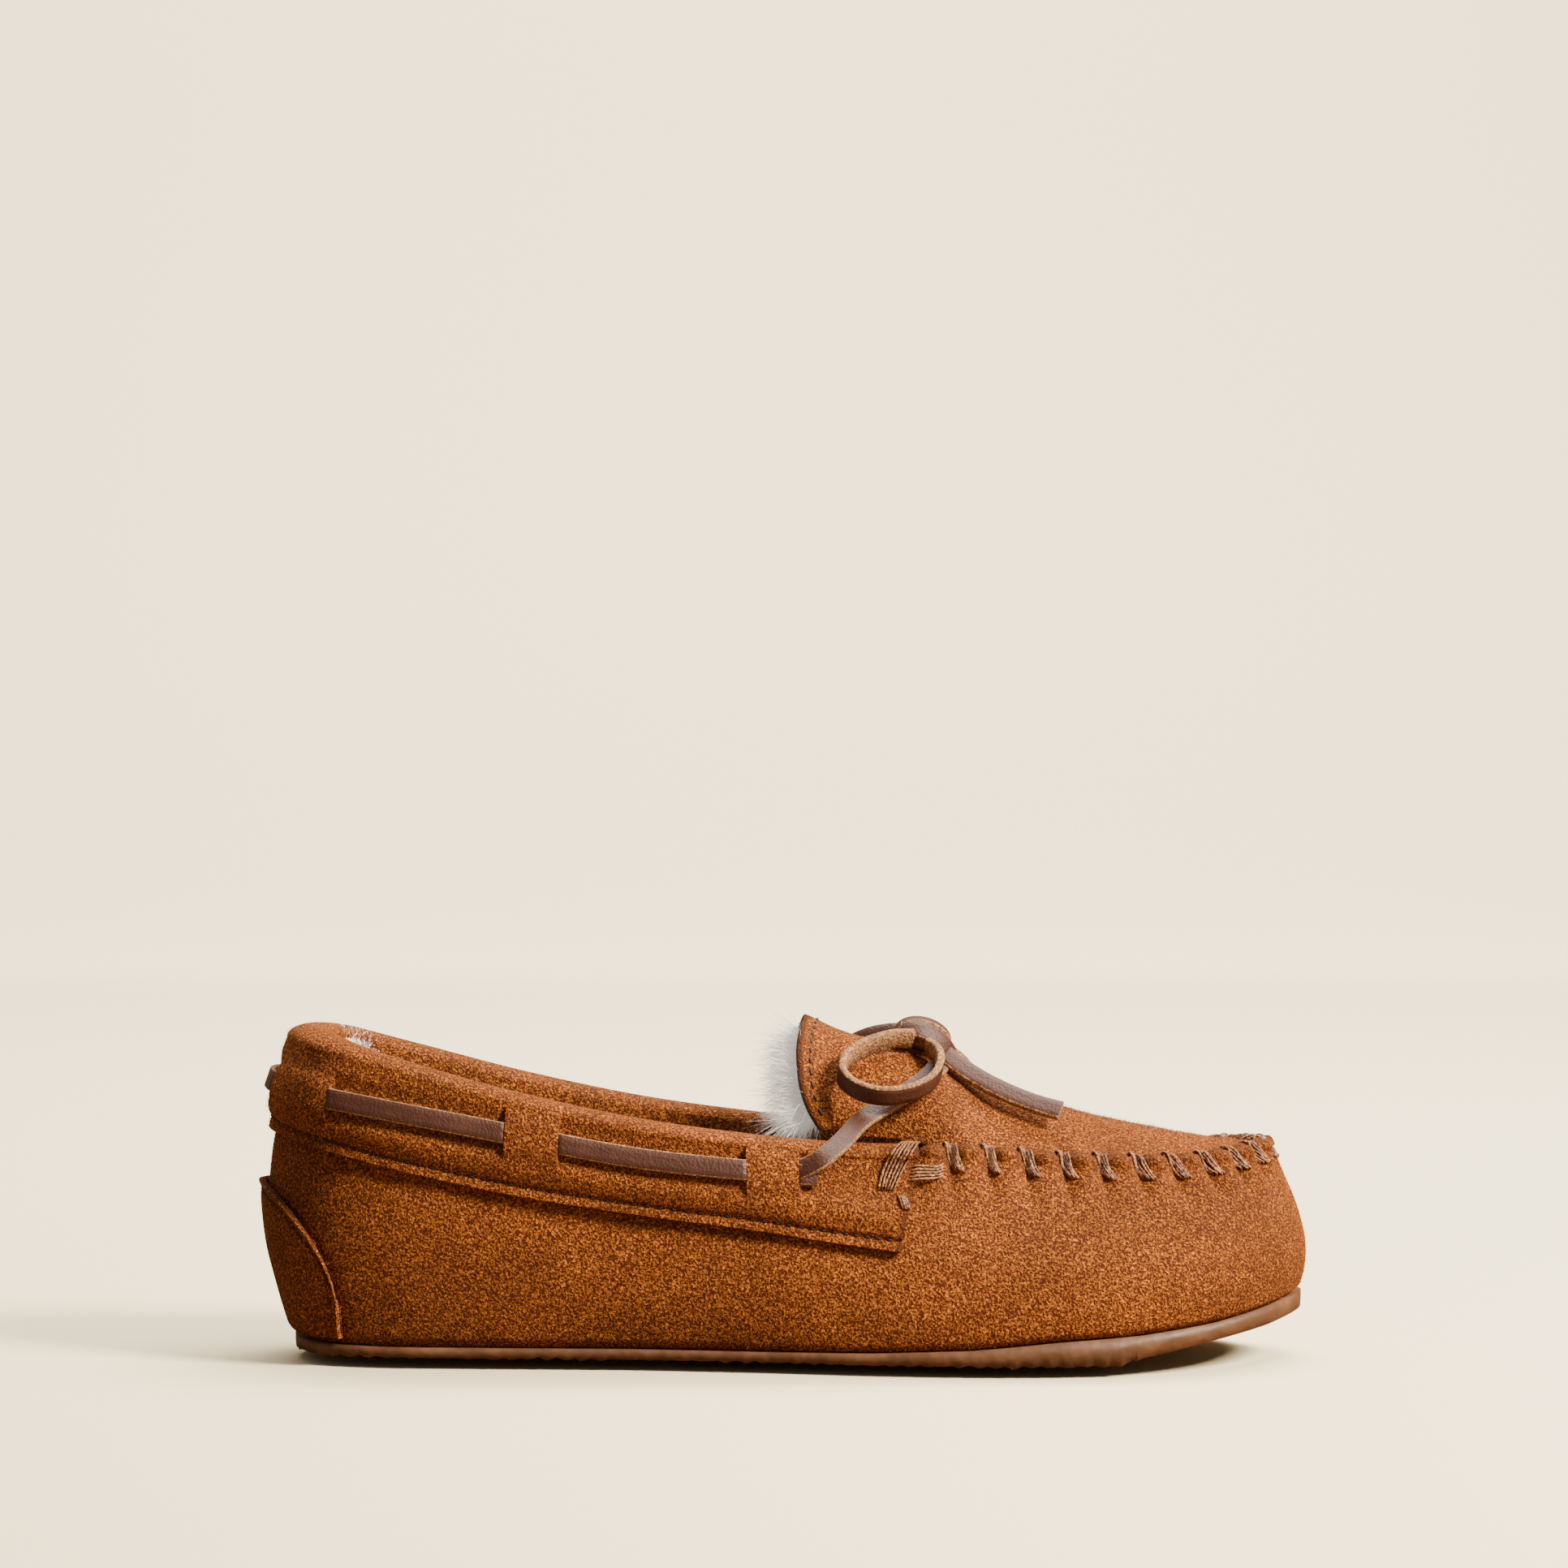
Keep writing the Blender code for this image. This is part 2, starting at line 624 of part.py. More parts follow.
def main():
    clear_scene()
    parts = collection("moccasin")
    cutters = collection("moccasin_cutters")
    looks = build_materials()
    build_bottom(parts, looks)
    build_wrap(parts, looks)
    build_linings(parts, looks)
    build_heel_patch(parts, looks)
    build_collar(parts, looks, cutters)
    build_lace_run(parts, looks)
    build_apron(parts, looks)
    build_whip_stitch(parts, looks)
    build_tongue(parts, looks)
    build_bow(parts, looks)
    build_tacks(parts, looks)


main()
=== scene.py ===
import json
import math

import bmesh
import bpy
import numpy as np
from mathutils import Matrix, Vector

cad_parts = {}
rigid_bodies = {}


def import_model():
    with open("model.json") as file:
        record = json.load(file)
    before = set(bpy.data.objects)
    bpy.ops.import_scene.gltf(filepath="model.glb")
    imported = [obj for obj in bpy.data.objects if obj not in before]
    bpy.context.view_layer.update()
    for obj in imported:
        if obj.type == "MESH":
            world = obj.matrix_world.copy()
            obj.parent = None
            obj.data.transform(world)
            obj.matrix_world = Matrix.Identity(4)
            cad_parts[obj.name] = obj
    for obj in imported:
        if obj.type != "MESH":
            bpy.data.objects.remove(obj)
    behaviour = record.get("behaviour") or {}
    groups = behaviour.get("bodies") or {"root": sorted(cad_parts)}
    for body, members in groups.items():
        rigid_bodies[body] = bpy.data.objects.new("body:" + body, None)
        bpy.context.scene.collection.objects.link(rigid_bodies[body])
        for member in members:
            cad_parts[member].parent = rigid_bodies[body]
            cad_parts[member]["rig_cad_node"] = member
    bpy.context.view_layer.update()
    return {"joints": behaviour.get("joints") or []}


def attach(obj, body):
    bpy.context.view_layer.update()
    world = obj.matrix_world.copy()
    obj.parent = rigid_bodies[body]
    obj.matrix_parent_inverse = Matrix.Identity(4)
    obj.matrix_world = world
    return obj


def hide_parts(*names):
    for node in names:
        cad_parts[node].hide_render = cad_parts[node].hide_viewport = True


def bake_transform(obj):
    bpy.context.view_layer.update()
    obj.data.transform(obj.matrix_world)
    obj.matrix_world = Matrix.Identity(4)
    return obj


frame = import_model()
print("stage: frame loaded")

# The shoe's own shape, in millimetres from the heel; the frame says where that lies in the row
creasePoint = next(j for j in frame["joints"] if j["name"] == "tongue_lift")["pos_m"]
creaseX = 177.5
rowShift = np.array((creasePoint[0] * 1000 - creaseX, creasePoint[1] * 1000, 0.0))

# feather line x, z, outer and inner half widths, top line x, z, outer and inner half widths,
# bulge, height of the fullest point
stations = np.array((
    (9.5, 4.0, 0.0, 0.0, 11.5, 75.6, 0.0, 0.0, 8.0, 1.00),
    (15.0, 3.6, 18.0, 17.5, 19.0, 73.8, 19.5, 19.5, 6.5, 0.95),
    (32.0, 3.3, 26.0, 25.0, 37.0, 68.6, 27.5, 27.5, 5.0, 0.90),
    (61.0, 3.3, 28.5, 26.0, 63.0, 61.6, 30.0, 30.0, 4.5, 0.85),
    (92.0, 3.3, 30.5, 27.0, 92.0, 55.4, 31.5, 31.0, 4.0, 0.80),
    (122.0, 3.3, 35.0, 31.0, 120.0, 51.5, 31.5, 31.0, 4.0, 0.80),
    (148.0, 3.6, 40.5, 36.0, 145.0, 49.3, 30.0, 29.5, 5.0, 0.80),
    (172.0, 4.6, 43.8, 39.5, 170.0, 48.6, 28.0, 27.5, 6.0, 0.76),
    (193.0, 6.6, 43.8, 40.5, 189.0, 47.0, 28.0, 27.5, 6.5, 0.76),
    (212.0, 7.8, 40.3, 38.0, 207.0, 46.2, 27.5, 27.5, 6.5, 0.76),
    (230.0, 9.9, 32.3, 32.5, 224.0, 46.0, 23.5, 24.5, 6.0, 0.76),
    (244.5, 12.4, 18.0, 20.5, 238.0, 47.0, 14.0, 17.0, 5.0, 0.76),
    (252.5, 14.0, -2.0, 2.0, 246.0, 48.2, -2.0, 2.0, 4.2, 0.76),
))
toeStation = len(stations) - 1
ringCount = 2 * toeStation
heelEnd = 6.42  # the collar's front end, as a station

leather = {"wrap": 1.6, "wrapShown": 1.2, "patchShown": 1.4, "collar": 1.2, "gap": 0.3, "collarFull": 3.4,
           "collarInner": 6.4, "facing": 10.0}
collarEdge = np.array((54.0, 51.6, 46.5, 40.6, 36.0, 32.4, 28.8, 26.0))
laceDepth = np.array((12.8, 13.0, 11.5, 9.6, 8.8, 8.0, 7.6, 7.4))
slits = (0.42, 1.3, 2.95, 3.4, 4.95, 5.45)


def smooth(rows, place):
    place = np.asarray(place, float)
    base = np.floor(place).astype(int)
    t = (place - base)[..., None]
    a, b, c, d = (rows[(base + k) % len(rows)] for k in (-1, 0, 1, 2))
    bend, twist = 2 * a - 5 * b + 4 * c - d, 3 * b - a - 3 * c + d
    return 0.5 * (2 * b + (c - a) * t + bend * t ** 2 + twist * t ** 3)


def ringRows():
    rows = []
    for place in range(ringCount):
        inner = place > toeStation
        fx, fz, fl, fm, tx, tz, tl, tm, bulge, peak = stations[ringCount - place if inner else place]
        rows.append((fx, fm if inner else -fl, fz, tx, tm if inner else -tl, tz, bulge, peak))
    return np.array(rows)


ring = ringRows()


def outward(u):
    u = np.asarray(u, float)
    step = smooth(ring, u + 0.05) - smooth(ring, u - 0.05)
    dx = step[..., 0] + step[..., 3]
    dy = step[..., 1] + step[..., 4]
    size = np.hypot(dx, dy)
    return np.stack((dy / size, -dx / size, np.zeros_like(dx)), -1)


def wall(u, v, off=0.0):
    u, v, off = np.broadcast_arrays(np.asarray(u, float), v, off)
    row = smooth(ring, u)
    inside = np.clip(v, 0, 1)
    swell = row[..., 6] * np.sin(math.pi * inside ** row[..., 7]) * (v < 1)
    foot, top = row[..., 0:3], row[..., 3:6]
    return foot + (top - foot) * inside[..., None] + outward(u) * (swell + off)[..., None]


def byStation(values, u):
    rows = np.concatenate((values[:0:-1], values, values[-1:]))[:, None]
    return smooth(rows, np.abs(u) + len(values) - 1)[..., 0]


def heightAt(u, z):
    row = smooth(ring, u)
    return (z - row[..., 2]) / (row[..., 5] - row[..., 2])


def ease(low, high, x):
    t = np.clip((np.asarray(x, float) - low) / (high - low), 0, 1)
    return t * t * (3 - 2 * t)


def wave(points, size, seed):
    rng = np.random.default_rng(seed)
    total = 0.0
    for k in range(5):
        direction = rng.normal(size=3)
        direction /= np.linalg.norm(direction)
        length = size * rng.uniform(0.7, 1.4)
        total = total + np.sin(points @ direction * 2 * math.pi / length + rng.uniform(0, 6.3))
    return total / 5


def toRow(points):
    return (np.asarray(points, float) + rowShift) / 1000


weld = {"grid": 0.000005, "crease": 0.00003}  # how close points are before they become one, in metres


def addObject(name, data):
    item = bpy.data.objects.new(name, data)
    bpy.context.scene.collection.objects.link(item)
    return item


def meshObject(name, verts, faces, *looks):
    mesh = bpy.data.meshes.new(name)
    mesh.from_pydata(toRow(verts).tolist(), [], faces)
    mesh.shade_smooth()
    for look in looks:
        mesh.materials.append(materials[look])
    return addObject(name, mesh)


def gridObject(name, points, look, closed=False, edgeAndShadeTone=None, flip=False):
    rows, columns = points.shape[:2]
    index = np.arange(rows * columns).reshape(rows, columns)
    if closed:
        index = np.concatenate((index, index[:, :1]), 1)
    quads = np.stack((index[:-1, :-1], index[:-1, 1:], index[1:, 1:], index[1:, :-1]), -1).reshape(-1, 4)
    if flip:
        quads = quads[:, ::-1]
    item = meshObject(name, points.reshape(-1, 3), quads.tolist(), look)
    mesh = item.data
    # share of the edge colour at each point: raw cut edges, and painted shade in the wrap's pucker dips
    if edgeAndShadeTone is not None:
        tones = np.broadcast_to(edgeAndShadeTone, (rows, columns)).reshape(-1).astype(np.float32)
        mesh.attributes.new("edgeAndShadeTone", "FLOAT", "POINT").data.foreach_set("value", tones)
    bm = bmesh.new()
    bm.from_mesh(mesh)
    bmesh.ops.remove_doubles(bm, verts=bm.verts, dist=weld["grid"])
    bm.to_mesh(mesh)
    bm.free()
    return item


def joinObjects(first, *others):
    bpy.ops.object.select_all(action="DESELECT")
    for item in (first, *others):
        item.select_set(True)
    bpy.context.view_layer.objects.active = first
    bpy.ops.object.join()
    return first


def giveThickness(item, thick):
    solidify = item.modifiers.new("thickness", "SOLIDIFY")
    solidify.thickness = thick / 1000
    solidify.offset = -1
    return item


def settle(item, body, slot, *nodes):
    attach(item, body)
    if nodes:
        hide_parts(*nodes)
    return item


def curveThrough(points, steps):
    points = np.asarray(points, float)
    ends = np.vstack((2 * points[0] - points[1], points, 2 * points[-1] - points[-2]))
    place = 1 + np.linspace(0, len(points) - 1, (len(points) - 1) * steps + 1)
    return smooth(ends, np.minimum(place, len(points) - 1e-9))


def unit(vectors):
    return vectors / np.linalg.norm(vectors, axis=-1, keepdims=True)


strap = {"chamfer": 0.2, "rippleSize": 9.0, "sharp": 50.0}


def strapObject(name, path, across, width, thick, side=1, ripple=0.0):
    tangent = unit(np.gradient(path, axis=0))
    across = np.broadcast_to(across, path.shape)
    wide = unit(across - tangent * (across * tangent).sum(1, keepdims=True))
    face = np.cross(tangent, wide) * side
    w, h, c = width / 2, thick / 2, thick * strap["chamfer"]
    outline = [(-w + c, h), (-w * 0.3, h), (w * 0.3, h), (w - c, h), (w, h - c), (w, -h + c), (w - c, -h),
               (-w + c, -h), (-w, -h + c), (-w, h - c)]
    jitter = 1 + ripple * wave(path, strap["rippleSize"], len(path))[:, None]
    rows = [path + wide * a * jitter + face * b for a, b in outline]
    count = len(outline)
    faces, looks = [], []
    for k in range(0, (len(path) - 1) * count, count):
        for a in range(count):
            b = (a + 1) % count
            faces.append((k + a, k + b, k + count + b, k + count + a))
            looks.append(0 if a < 3 else 1)  # the top of the outline is the grain side
    faces += [tuple(range(count))[::-1], tuple((len(path) - 1) * count + a for a in range(count))]
    looks += [1, 1]
    if side > 0:
        faces = [face[::-1] for face in faces]
    item = meshObject(name, np.stack(rows, 1).reshape(-1, 3), faces, "laceFace", "laceFlesh")
    item.data.polygons.foreach_set("material_index", looks)
    item.data.set_sharp_from_angle(angle=math.radians(strap["sharp"]))
    return item


strand = {"sides": 6, "endTaper": 0.45, "guide": (0.3, 0.2, 1.0)}


def strandObject(name, paths, radius, look):
    verts, faces, sides = [], [], strand["sides"]
    for path in paths:
        path = np.asarray(path, float)
        tangent = unit(np.gradient(path, axis=0))
        first = unit(np.cross(tangent, np.array(strand["guide"])))
        second = np.cross(tangent, first)
        taper = np.ones(len(path))
        taper[0] = taper[-1] = strand["endTaper"]
        start = len(verts)
        for k in range(len(path)):
            for a in range(sides):
                angle = 2 * math.pi * a / sides
                around = first[k] * math.cos(angle) + second[k] * math.sin(angle)
                verts.append(path[k] + around * radius * taper[k])
        for k in range(len(path) - 1):
            for a in range(sides):
                b = (a + 1) % sides
                faces.append((start + k * sides + a, start + k * sides + b,
                              start + (k + 1) * sides + b, start + (k + 1) * sides + a))
        faces.append(tuple(start + a for a in reversed(range(sides))))
        faces.append(tuple(start + (len(path) - 1) * sides + a for a in range(sides)))
    return meshObject(name, verts, faces, look)


def bladeObject(name, points, pile, keep=None, look="glowingFleece"):
    rng = np.random.default_rng(pile["seed"])
    a, b, c, d = points[:-1, :-1], points[:-1, 1:], points[1:, 1:], points[1:, :-1]
    halves = (np.stack((a, b, c), -2), np.stack((a, c, d), -2))
    triangles = np.concatenate([half.reshape(-1, 3, 3) for half in halves])
    normals = np.cross(triangles[:, 1] - triangles[:, 0], triangles[:, 2] - triangles[:, 0])
    area = np.linalg.norm(normals, axis=1)
    if keep is not None:
        area = area * keep(triangles.mean(1))
    chosen = rng.choice(len(triangles), pile["count"], p=area / area.sum())
    mix = rng.random((pile["count"], 2))
    fold = mix.sum(1) > 1
    mix[fold] = 1 - mix[fold]
    first, second, third = (triangles[chosen][:, k] for k in range(3))
    root = first + (second - first) * mix[:, :1] + (third - first) * mix[:, 1:]
    normal = unit(normals[chosen]) * pile.get("facing", 1)
    spread = rng.normal(size=(pile["count"], 3)) * pile["spread"]
    clump = np.stack([wave(root, pile["clump"], pile["seed"] + k) for k in range(3)], 1) * pile["clumping"]
    lean = np.asarray(pile["lean"], float)
    heading = unit(normal * pile["lift"] + lean + spread + clump)
    leaning = (heading * normal).sum(1, keepdims=True)
    heading = unit(heading + normal * (pile.get("least", 0.3) - leaning).clip(0))
    length = pile["length"] * rng.uniform(0.6, 1.1, (pile["count"], 1))
    curl = rng.normal(size=(pile["count"], 3)) * pile["curl"]
    side = unit(np.cross(heading, rng.normal(size=(pile["count"], 3))))
    segments = pile["segments"]
    levels = []
    for k in range(segments + 1):
        t = k / segments
        middle = root + heading * length * t + curl * length * t * t - normal * 0.15 * (1 - t)
        half = side * pile["width"] / 2 * (1 - t) ** 0.6
        levels.append(middle if k == segments else np.stack((middle - half, middle + half), 1))
    stride = 2 * segments + 1
    verts = np.concatenate([level.reshape(pile["count"], -1, 3) for level in levels], 1).reshape(-1, 3)
    base = (np.arange(pile["count"]) * stride)[:, None]
    quads = [base + np.array((2 * k, 2 * k + 1, 2 * k + 3, 2 * k + 2)) for k in range(segments - 1)]
    tips = base + np.array((2 * segments - 2, 2 * segments - 1, 2 * segments))
    faces = [f for q in quads for f in q.tolist()] + tips.tolist()
    return meshObject(name, verts, faces, look)


# Materials: node groups for the nap and the grain, then one material for each finish
def newGroup(name, inputs, outputs):
    group = bpy.data.node_groups.new(name, "ShaderNodeTree")
    for label, kind, value in inputs:
        socket = group.interface.new_socket(label, in_out="INPUT", socket_type=kind)
        socket.default_value = value
    for label, kind in outputs:
        group.interface.new_socket(label, in_out="OUTPUT", socket_type=kind)
    return group, group.nodes.new("NodeGroupInput"), group.nodes.new("NodeGroupOutput")


def addNode(tree, kind, inputs=None, **values):
    node = tree.nodes.new(kind)
    for key, value in values.items():
        setattr(node, key, value)
    for key, value in (inputs or {}).items():
        if isinstance(value, bpy.types.NodeSocket):
            tree.links.new(value, node.inputs[key])
        else:
            node.inputs[key].default_value = value
    return node


def mixColor(tree, factor, first, second, blend="MIX"):
    inputs = {0: factor, 6: first, 7: second}  # the colour sockets share their names, so they go by number
    return addNode(tree, "ShaderNodeMix", inputs, data_type="RGBA", blend_type=blend).outputs[2]


def napGroup():
    group, given, out = newGroup("suedeNap", (
        ("Dark", "NodeSocketColor", (0.1, 0.03, 0.01, 1)), ("Light", "NodeSocketColor", (0.6, 0.3, 0.1, 1)),
        ("Grain Scale", "NodeSocketFloat", 900.0), ("Patch Scale", "NodeSocketFloat", 40.0),
        ("Patch Strength", "NodeSocketFloat", 0.5)),
        (("Color", "NodeSocketColor"), ("Height", "NodeSocketFloat")))
    place = addNode(group, "ShaderNodeTexCoord").outputs["Object"]
    grain = addNode(group, "ShaderNodeTexNoise", {
        "Vector": place, "Scale": given.outputs["Grain Scale"], "Detail": 2.0, "Roughness": 0.55,
        "Distortion": 0.5})
    patch = addNode(group, "ShaderNodeTexNoise", {
        "Vector": place, "Scale": given.outputs["Patch Scale"], "Detail": 3.0})
    ramp = addNode(group, "ShaderNodeMapRange", {
        "Value": grain.outputs["Fac"], "From Min": 0.41, "From Max": 0.69})
    tone = mixColor(group, ramp.outputs["Result"], given.outputs["Dark"], given.outputs["Light"])
    shade = addNode(group, "ShaderNodeMapRange", {
        "Value": patch.outputs["Fac"], "From Min": 0.35, "From Max": 0.65, "To Min": 0.72, "To Max": 1.12})
    tint = mixColor(group, given.outputs["Patch Strength"], (1, 1, 1, 1), shade.outputs["Result"])
    group.links.new(mixColor(group, 1.0, tone, tint, "MULTIPLY"), out.inputs["Color"])
    group.links.new(ramp.outputs["Result"], out.inputs["Height"])
    return group


def grainGroup():
    group, given, out = newGroup("leatherGrain", (
        ("Color", "NodeSocketColor", (0.1, 0.05, 0.03, 1)), ("Worn", "NodeSocketColor", (0.3, 0.2, 0.1, 1)),
        ("Pebble Scale", "NodeSocketFloat", 1500.0), ("Wear", "NodeSocketFloat", 0.3)),
        (("Color", "NodeSocketColor"), ("Height", "NodeSocketFloat"), ("Roughness", "NodeSocketFloat")))
    place = addNode(group, "ShaderNodeTexCoord").outputs["Object"]
    pebble = addNode(group, "ShaderNodeTexVoronoi", {"Vector": place, "Scale": given.outputs["Pebble Scale"]},
                     feature="F1")
    noise = addNode(group, "ShaderNodeTexNoise", {"Vector": place, "Scale": 160.0, "Detail": 4.0})
    streak = noise.outputs["Fac"]
    worn = addNode(group, "ShaderNodeMapRange", {"Value": streak, "From Min": 0.45, "From Max": 0.8})
    share = addNode(group, "ShaderNodeMath", {0: worn.outputs["Result"], 1: given.outputs["Wear"]},
                    operation="MULTIPLY")
    rough = addNode(group, "ShaderNodeMapRange", {"Value": streak, "To Min": 0.42, "To Max": 0.7})
    group.links.new(mixColor(group, share.outputs[0], given.outputs["Color"], given.outputs["Worn"]),
                    out.inputs["Color"])
    group.links.new(rough.outputs["Result"], out.inputs["Roughness"])
    group.links.new(pebble.outputs["Distance"], out.inputs["Height"])
    return group


def color(r, g, b):
    channel = [c / 255 for c in (r, g, b)]
    return (*[c / 12.92 if c <= 0.04045 else ((c + 0.055) / 1.055) ** 2.4 for c in channel], 1.0)


def newMaterial(name, group=None, values=None, bump=0.0, bumpDepth=0.0006, edge=None, **shaderValues):
    made = bpy.data.materials.new(name)
    made.use_nodes = True
    tree = made.node_tree
    shader = tree.nodes["Principled BSDF"]
    for key, value in shaderValues.items():
        shader.inputs[key.replace("_", " ")].default_value = value
    if group is None:
        return made
    texture = addNode(tree, "ShaderNodeGroup", values, node_tree=group)
    base = texture.outputs["Color"]
    # the attribute mixes in the edge colour: raw cut edges, and painted shade in the wrap's pucker dips
    if edge is not None:
        mask = addNode(tree, "ShaderNodeAttribute", attribute_name="edgeAndShadeTone")
        base = mixColor(tree, mask.outputs["Fac"], base, edge)
    tree.links.new(base, shader.inputs["Base Color"])
    if "Roughness" in texture.outputs:
        tree.links.new(texture.outputs["Roughness"], shader.inputs["Roughness"])
    if bump:
        relief = addNode(tree, "ShaderNodeBump", {"Strength": bump, "Distance": bumpDepth,
                                                  "Height": texture.outputs["Height"]})
        tree.links.new(relief.outputs["Normal"], shader.inputs["Normal"])
    return made


nap, grain = napGroup(), grainGroup()


def napped(dark, light, grainScale, patchScale, patchStrength):
    return {"Dark": color(*dark), "Light": color(*light), "Grain Scale": grainScale, "Patch Scale": patchScale,
            "Patch Strength": patchStrength}


def grained(base, worn, pebbleScale, wear):
    return {"Color": color(*base), "Worn": color(*worn), "Pebble Scale": pebbleScale, "Wear": wear}


suede = napped((76, 30, 14), (220, 127, 50), 1700.0, 34.0, 0.8)
# the colour of the raw cut edges, also laid on the wrap as painted shade in the pucker dips
suedeEdgeAndShade = color(84, 42, 20)
materials = {
    "suede": newMaterial(
        "suede", nap, suede, 1.0, 0.0009, suedeEdgeAndShade, Roughness=0.85, Sheen_Weight=0.06,
        Specular_IOR_Level=0.15, Sheen_Roughness=0.4, Sheen_Tint=color(240, 160, 70)),
    "suedeFibre": newMaterial(
        "suedeFibre", nap, {**suede, "Light": color(208, 120, 34), "Grain Scale": 260.0}, Roughness=0.85),
    # the white fur has a painted glow: a faint emission brightens it beyond the lamps' light
    "glowingFleece": newMaterial(
        "glowingFleece", nap, napped((236, 234, 229), (253, 253, 252), 300.0, 60.0, 0.1), 0.6, 0.002,
        Roughness=0.9, Sheen_Weight=0.3, Emission_Color=color(250, 248, 244), Emission_Strength=0.16),
    "fleeceCloth": newMaterial(
        "fleeceCloth", nap, napped((150, 142, 130), (216, 210, 200), 300.0, 60.0, 0.3), 0.8, 0.002,
        Roughness=0.95),
    "laceFace": newMaterial(
        "laceFace", grain, grained((62, 27, 14), (88, 46, 28), 1500.0, 0.5), 0.35, 0.0003,
        Specular_IOR_Level=0.45),
    "laceFlesh": newMaterial(
        "laceFlesh", nap, napped((112, 72, 42), (188, 140, 94), 1400.0, 120.0, 0.5), 0.6, 0.0005,
        Roughness=0.9),
    "thread": newMaterial(
        "thread", nap, napped((62, 28, 12), (196, 126, 72), 1500.0, 300.0, 0.6), 0.5, 0.0003,
        Roughness=0.55),
    "seamThread": newMaterial(
        "seamThread", nap, napped((24, 9, 4), (58, 26, 12), 1500.0, 300.0, 0.5), 0.4, 0.0003,
        Roughness=0.7),
    "gumRubber": newMaterial(
        "gumRubber", grain, grained((84, 51, 27), (124, 82, 50), 420.0, 0.7), 0.25, 0.0005,
        Subsurface_Weight=0.2, Subsurface_Scale=0.004),
    "board": newMaterial(
        "board", nap, napped((120, 96, 66), (176, 150, 112), 500.0, 80.0, 0.4), 0.4, Roughness=0.9),
    "foam": newMaterial(
        "foam", nap, napped((196, 188, 160), (232, 226, 204), 900.0, 80.0, 0.3), 0.6, Roughness=0.95),
}
print("stage: materials")


# Camera, light and floor

def lookFrom(item, place, target):
    item.location = place
    item.rotation_euler = (Vector(target) - Vector(place)).to_track_quat("-Z", "Y").to_euler()


camera = {"distance": 1.427, "aim": (0.0005, 0.0, 0.137), "pitch": 2.0, "lens": 135.0}
cameraData = bpy.data.cameras.new("camera")
cameraData.lens = camera["lens"]
cameraData.sensor_width = 36.0
cameraItem = addObject("camera", cameraData)
bpy.context.scene.camera = cameraItem
tilt = math.radians(camera["pitch"])
lookFrom(cameraItem, (camera["aim"][0], -camera["distance"] * math.cos(tilt),
                      camera["aim"][2] + camera["distance"] * math.sin(tilt)), camera["aim"])

studio = {
    "lamps": (("keyLamp", (0.95, -0.62, 0.85), (0.0, 0.0, 0.03), 0.4, 70.0, (1.0, 0.9, 0.72)),
              ("topLamp", (0.35, 0.3, 1.2), (0.0, 0.0, 0.03), 0.9, 18.0, (1.0, 0.94, 0.84)),
              ("wallLamp", (0.0, 0.9, 1.8), (0.0, 2.05, 0.5), 1.6, 110.0, (1.0, 0.95, 0.84)),
              ("fillLamp", (-0.6, -1.5, 0.6), (0.0, 0.0, 0.03), 1.2, 1.0, (1.0, 0.97, 0.92))),
    "air": (1.0, 0.93, 0.82), "airStrength": 0.26,
    "backdrop": color(250, 238, 202), "bounce": color(120, 96, 66),
}
for name, place, target, size, power, tint in studio["lamps"]:
    lampData = bpy.data.lights.new(name, "AREA")
    lampData.size, lampData.energy, lampData.color = size, power, tint
    lookFrom(addObject(name, lampData), place, target)

world = bpy.data.worlds.new("studioAir")
bpy.context.scene.world = world
world.use_nodes = True
world.node_tree.nodes["Background"].inputs["Color"].default_value = (*studio["air"], 1)
world.node_tree.nodes["Background"].inputs["Strength"].default_value = studio["airStrength"]

sweep = [(-2.2, 0.0), (0.8, 0.0), (1.3, 0.03), (1.7, 0.18), (1.95, 0.5), (2.05, 1.0), (2.05, 2.6)]
sweepPath = curveThrough([(y, z, 0) for y, z in sweep], 8)
floorRows = np.array([[(x, p[0], p[1]) for p in sweepPath] for x in (3.0, -3.0)]) * 1000 - rowShift
materials["paper"] = paper = newMaterial("paper", Base_Color=studio["backdrop"], Roughness=0.95)
rays = addNode(paper.node_tree, "ShaderNodeLightPath")  # the paper throws little light back onto the shoe
seen = rays.outputs["Is Camera Ray"]
paper.node_tree.links.new(mixColor(paper.node_tree, seen, studio["bounce"], studio["backdrop"]),
                          paper.node_tree.nodes["Principled BSDF"].inputs["Base Color"])
gridObject("studioFloor", floorRows, "paper")
print("stage: camera, light and floor")


# The lace's free stretches: loops and tails
bow = {
    "width": 5.0, "thick": 1.8, "ripple": 0.02,
    "loop": ((158.6, -7.4, 75.6), (153.2, -9.4, 75.6), (147.0, -12.8, 74.0), (142.2, -17.0, 71.0),
             (141.4, -21.4, 67.6), (144.8, -25.2, 64.8), (150.8, -27.2, 63.4), (157.4, -26.0, 64.0),
             (162.6, -22.2, 66.2), (164.8, -17.2, 69.2), (164.6, -12.2, 71.8), (162.2, -8.0, 73.6)),
    "loopAxis": (0.12, -0.50, 0.86),
    "tailOuter": ((165.6, -4.8, 72.2), (168.8, -7.2, 69.6), (173.2, -9.4, 66.8), (178.2, -11.6, 64.2),
                  (183.4, -13.6, 62.0), (188.6, -15.2, 60.2), (194.0, -16.6, 58.8)),
    "tailInner": ((166.6, 4.6, 71.8), (168.8, 8.4, 70.0), (170.8, 12.4, 67.8), (172.8, 16.6, 64.8),
                  (174.8, 20.8, 61.0), (176.6, 24.6, 56.8), (178.2, 27.8, 52.8)),
    "loopLength": 0.069, "tailOuterLength": 0.034, "tailInnerLength": 0.033,
}


def declareLace(item, body, node):
    settle(item, body, "leather_lace", node)


def pathLength(path):
    return float(np.linalg.norm(np.diff(toRow(path), axis=0), axis=1).sum())


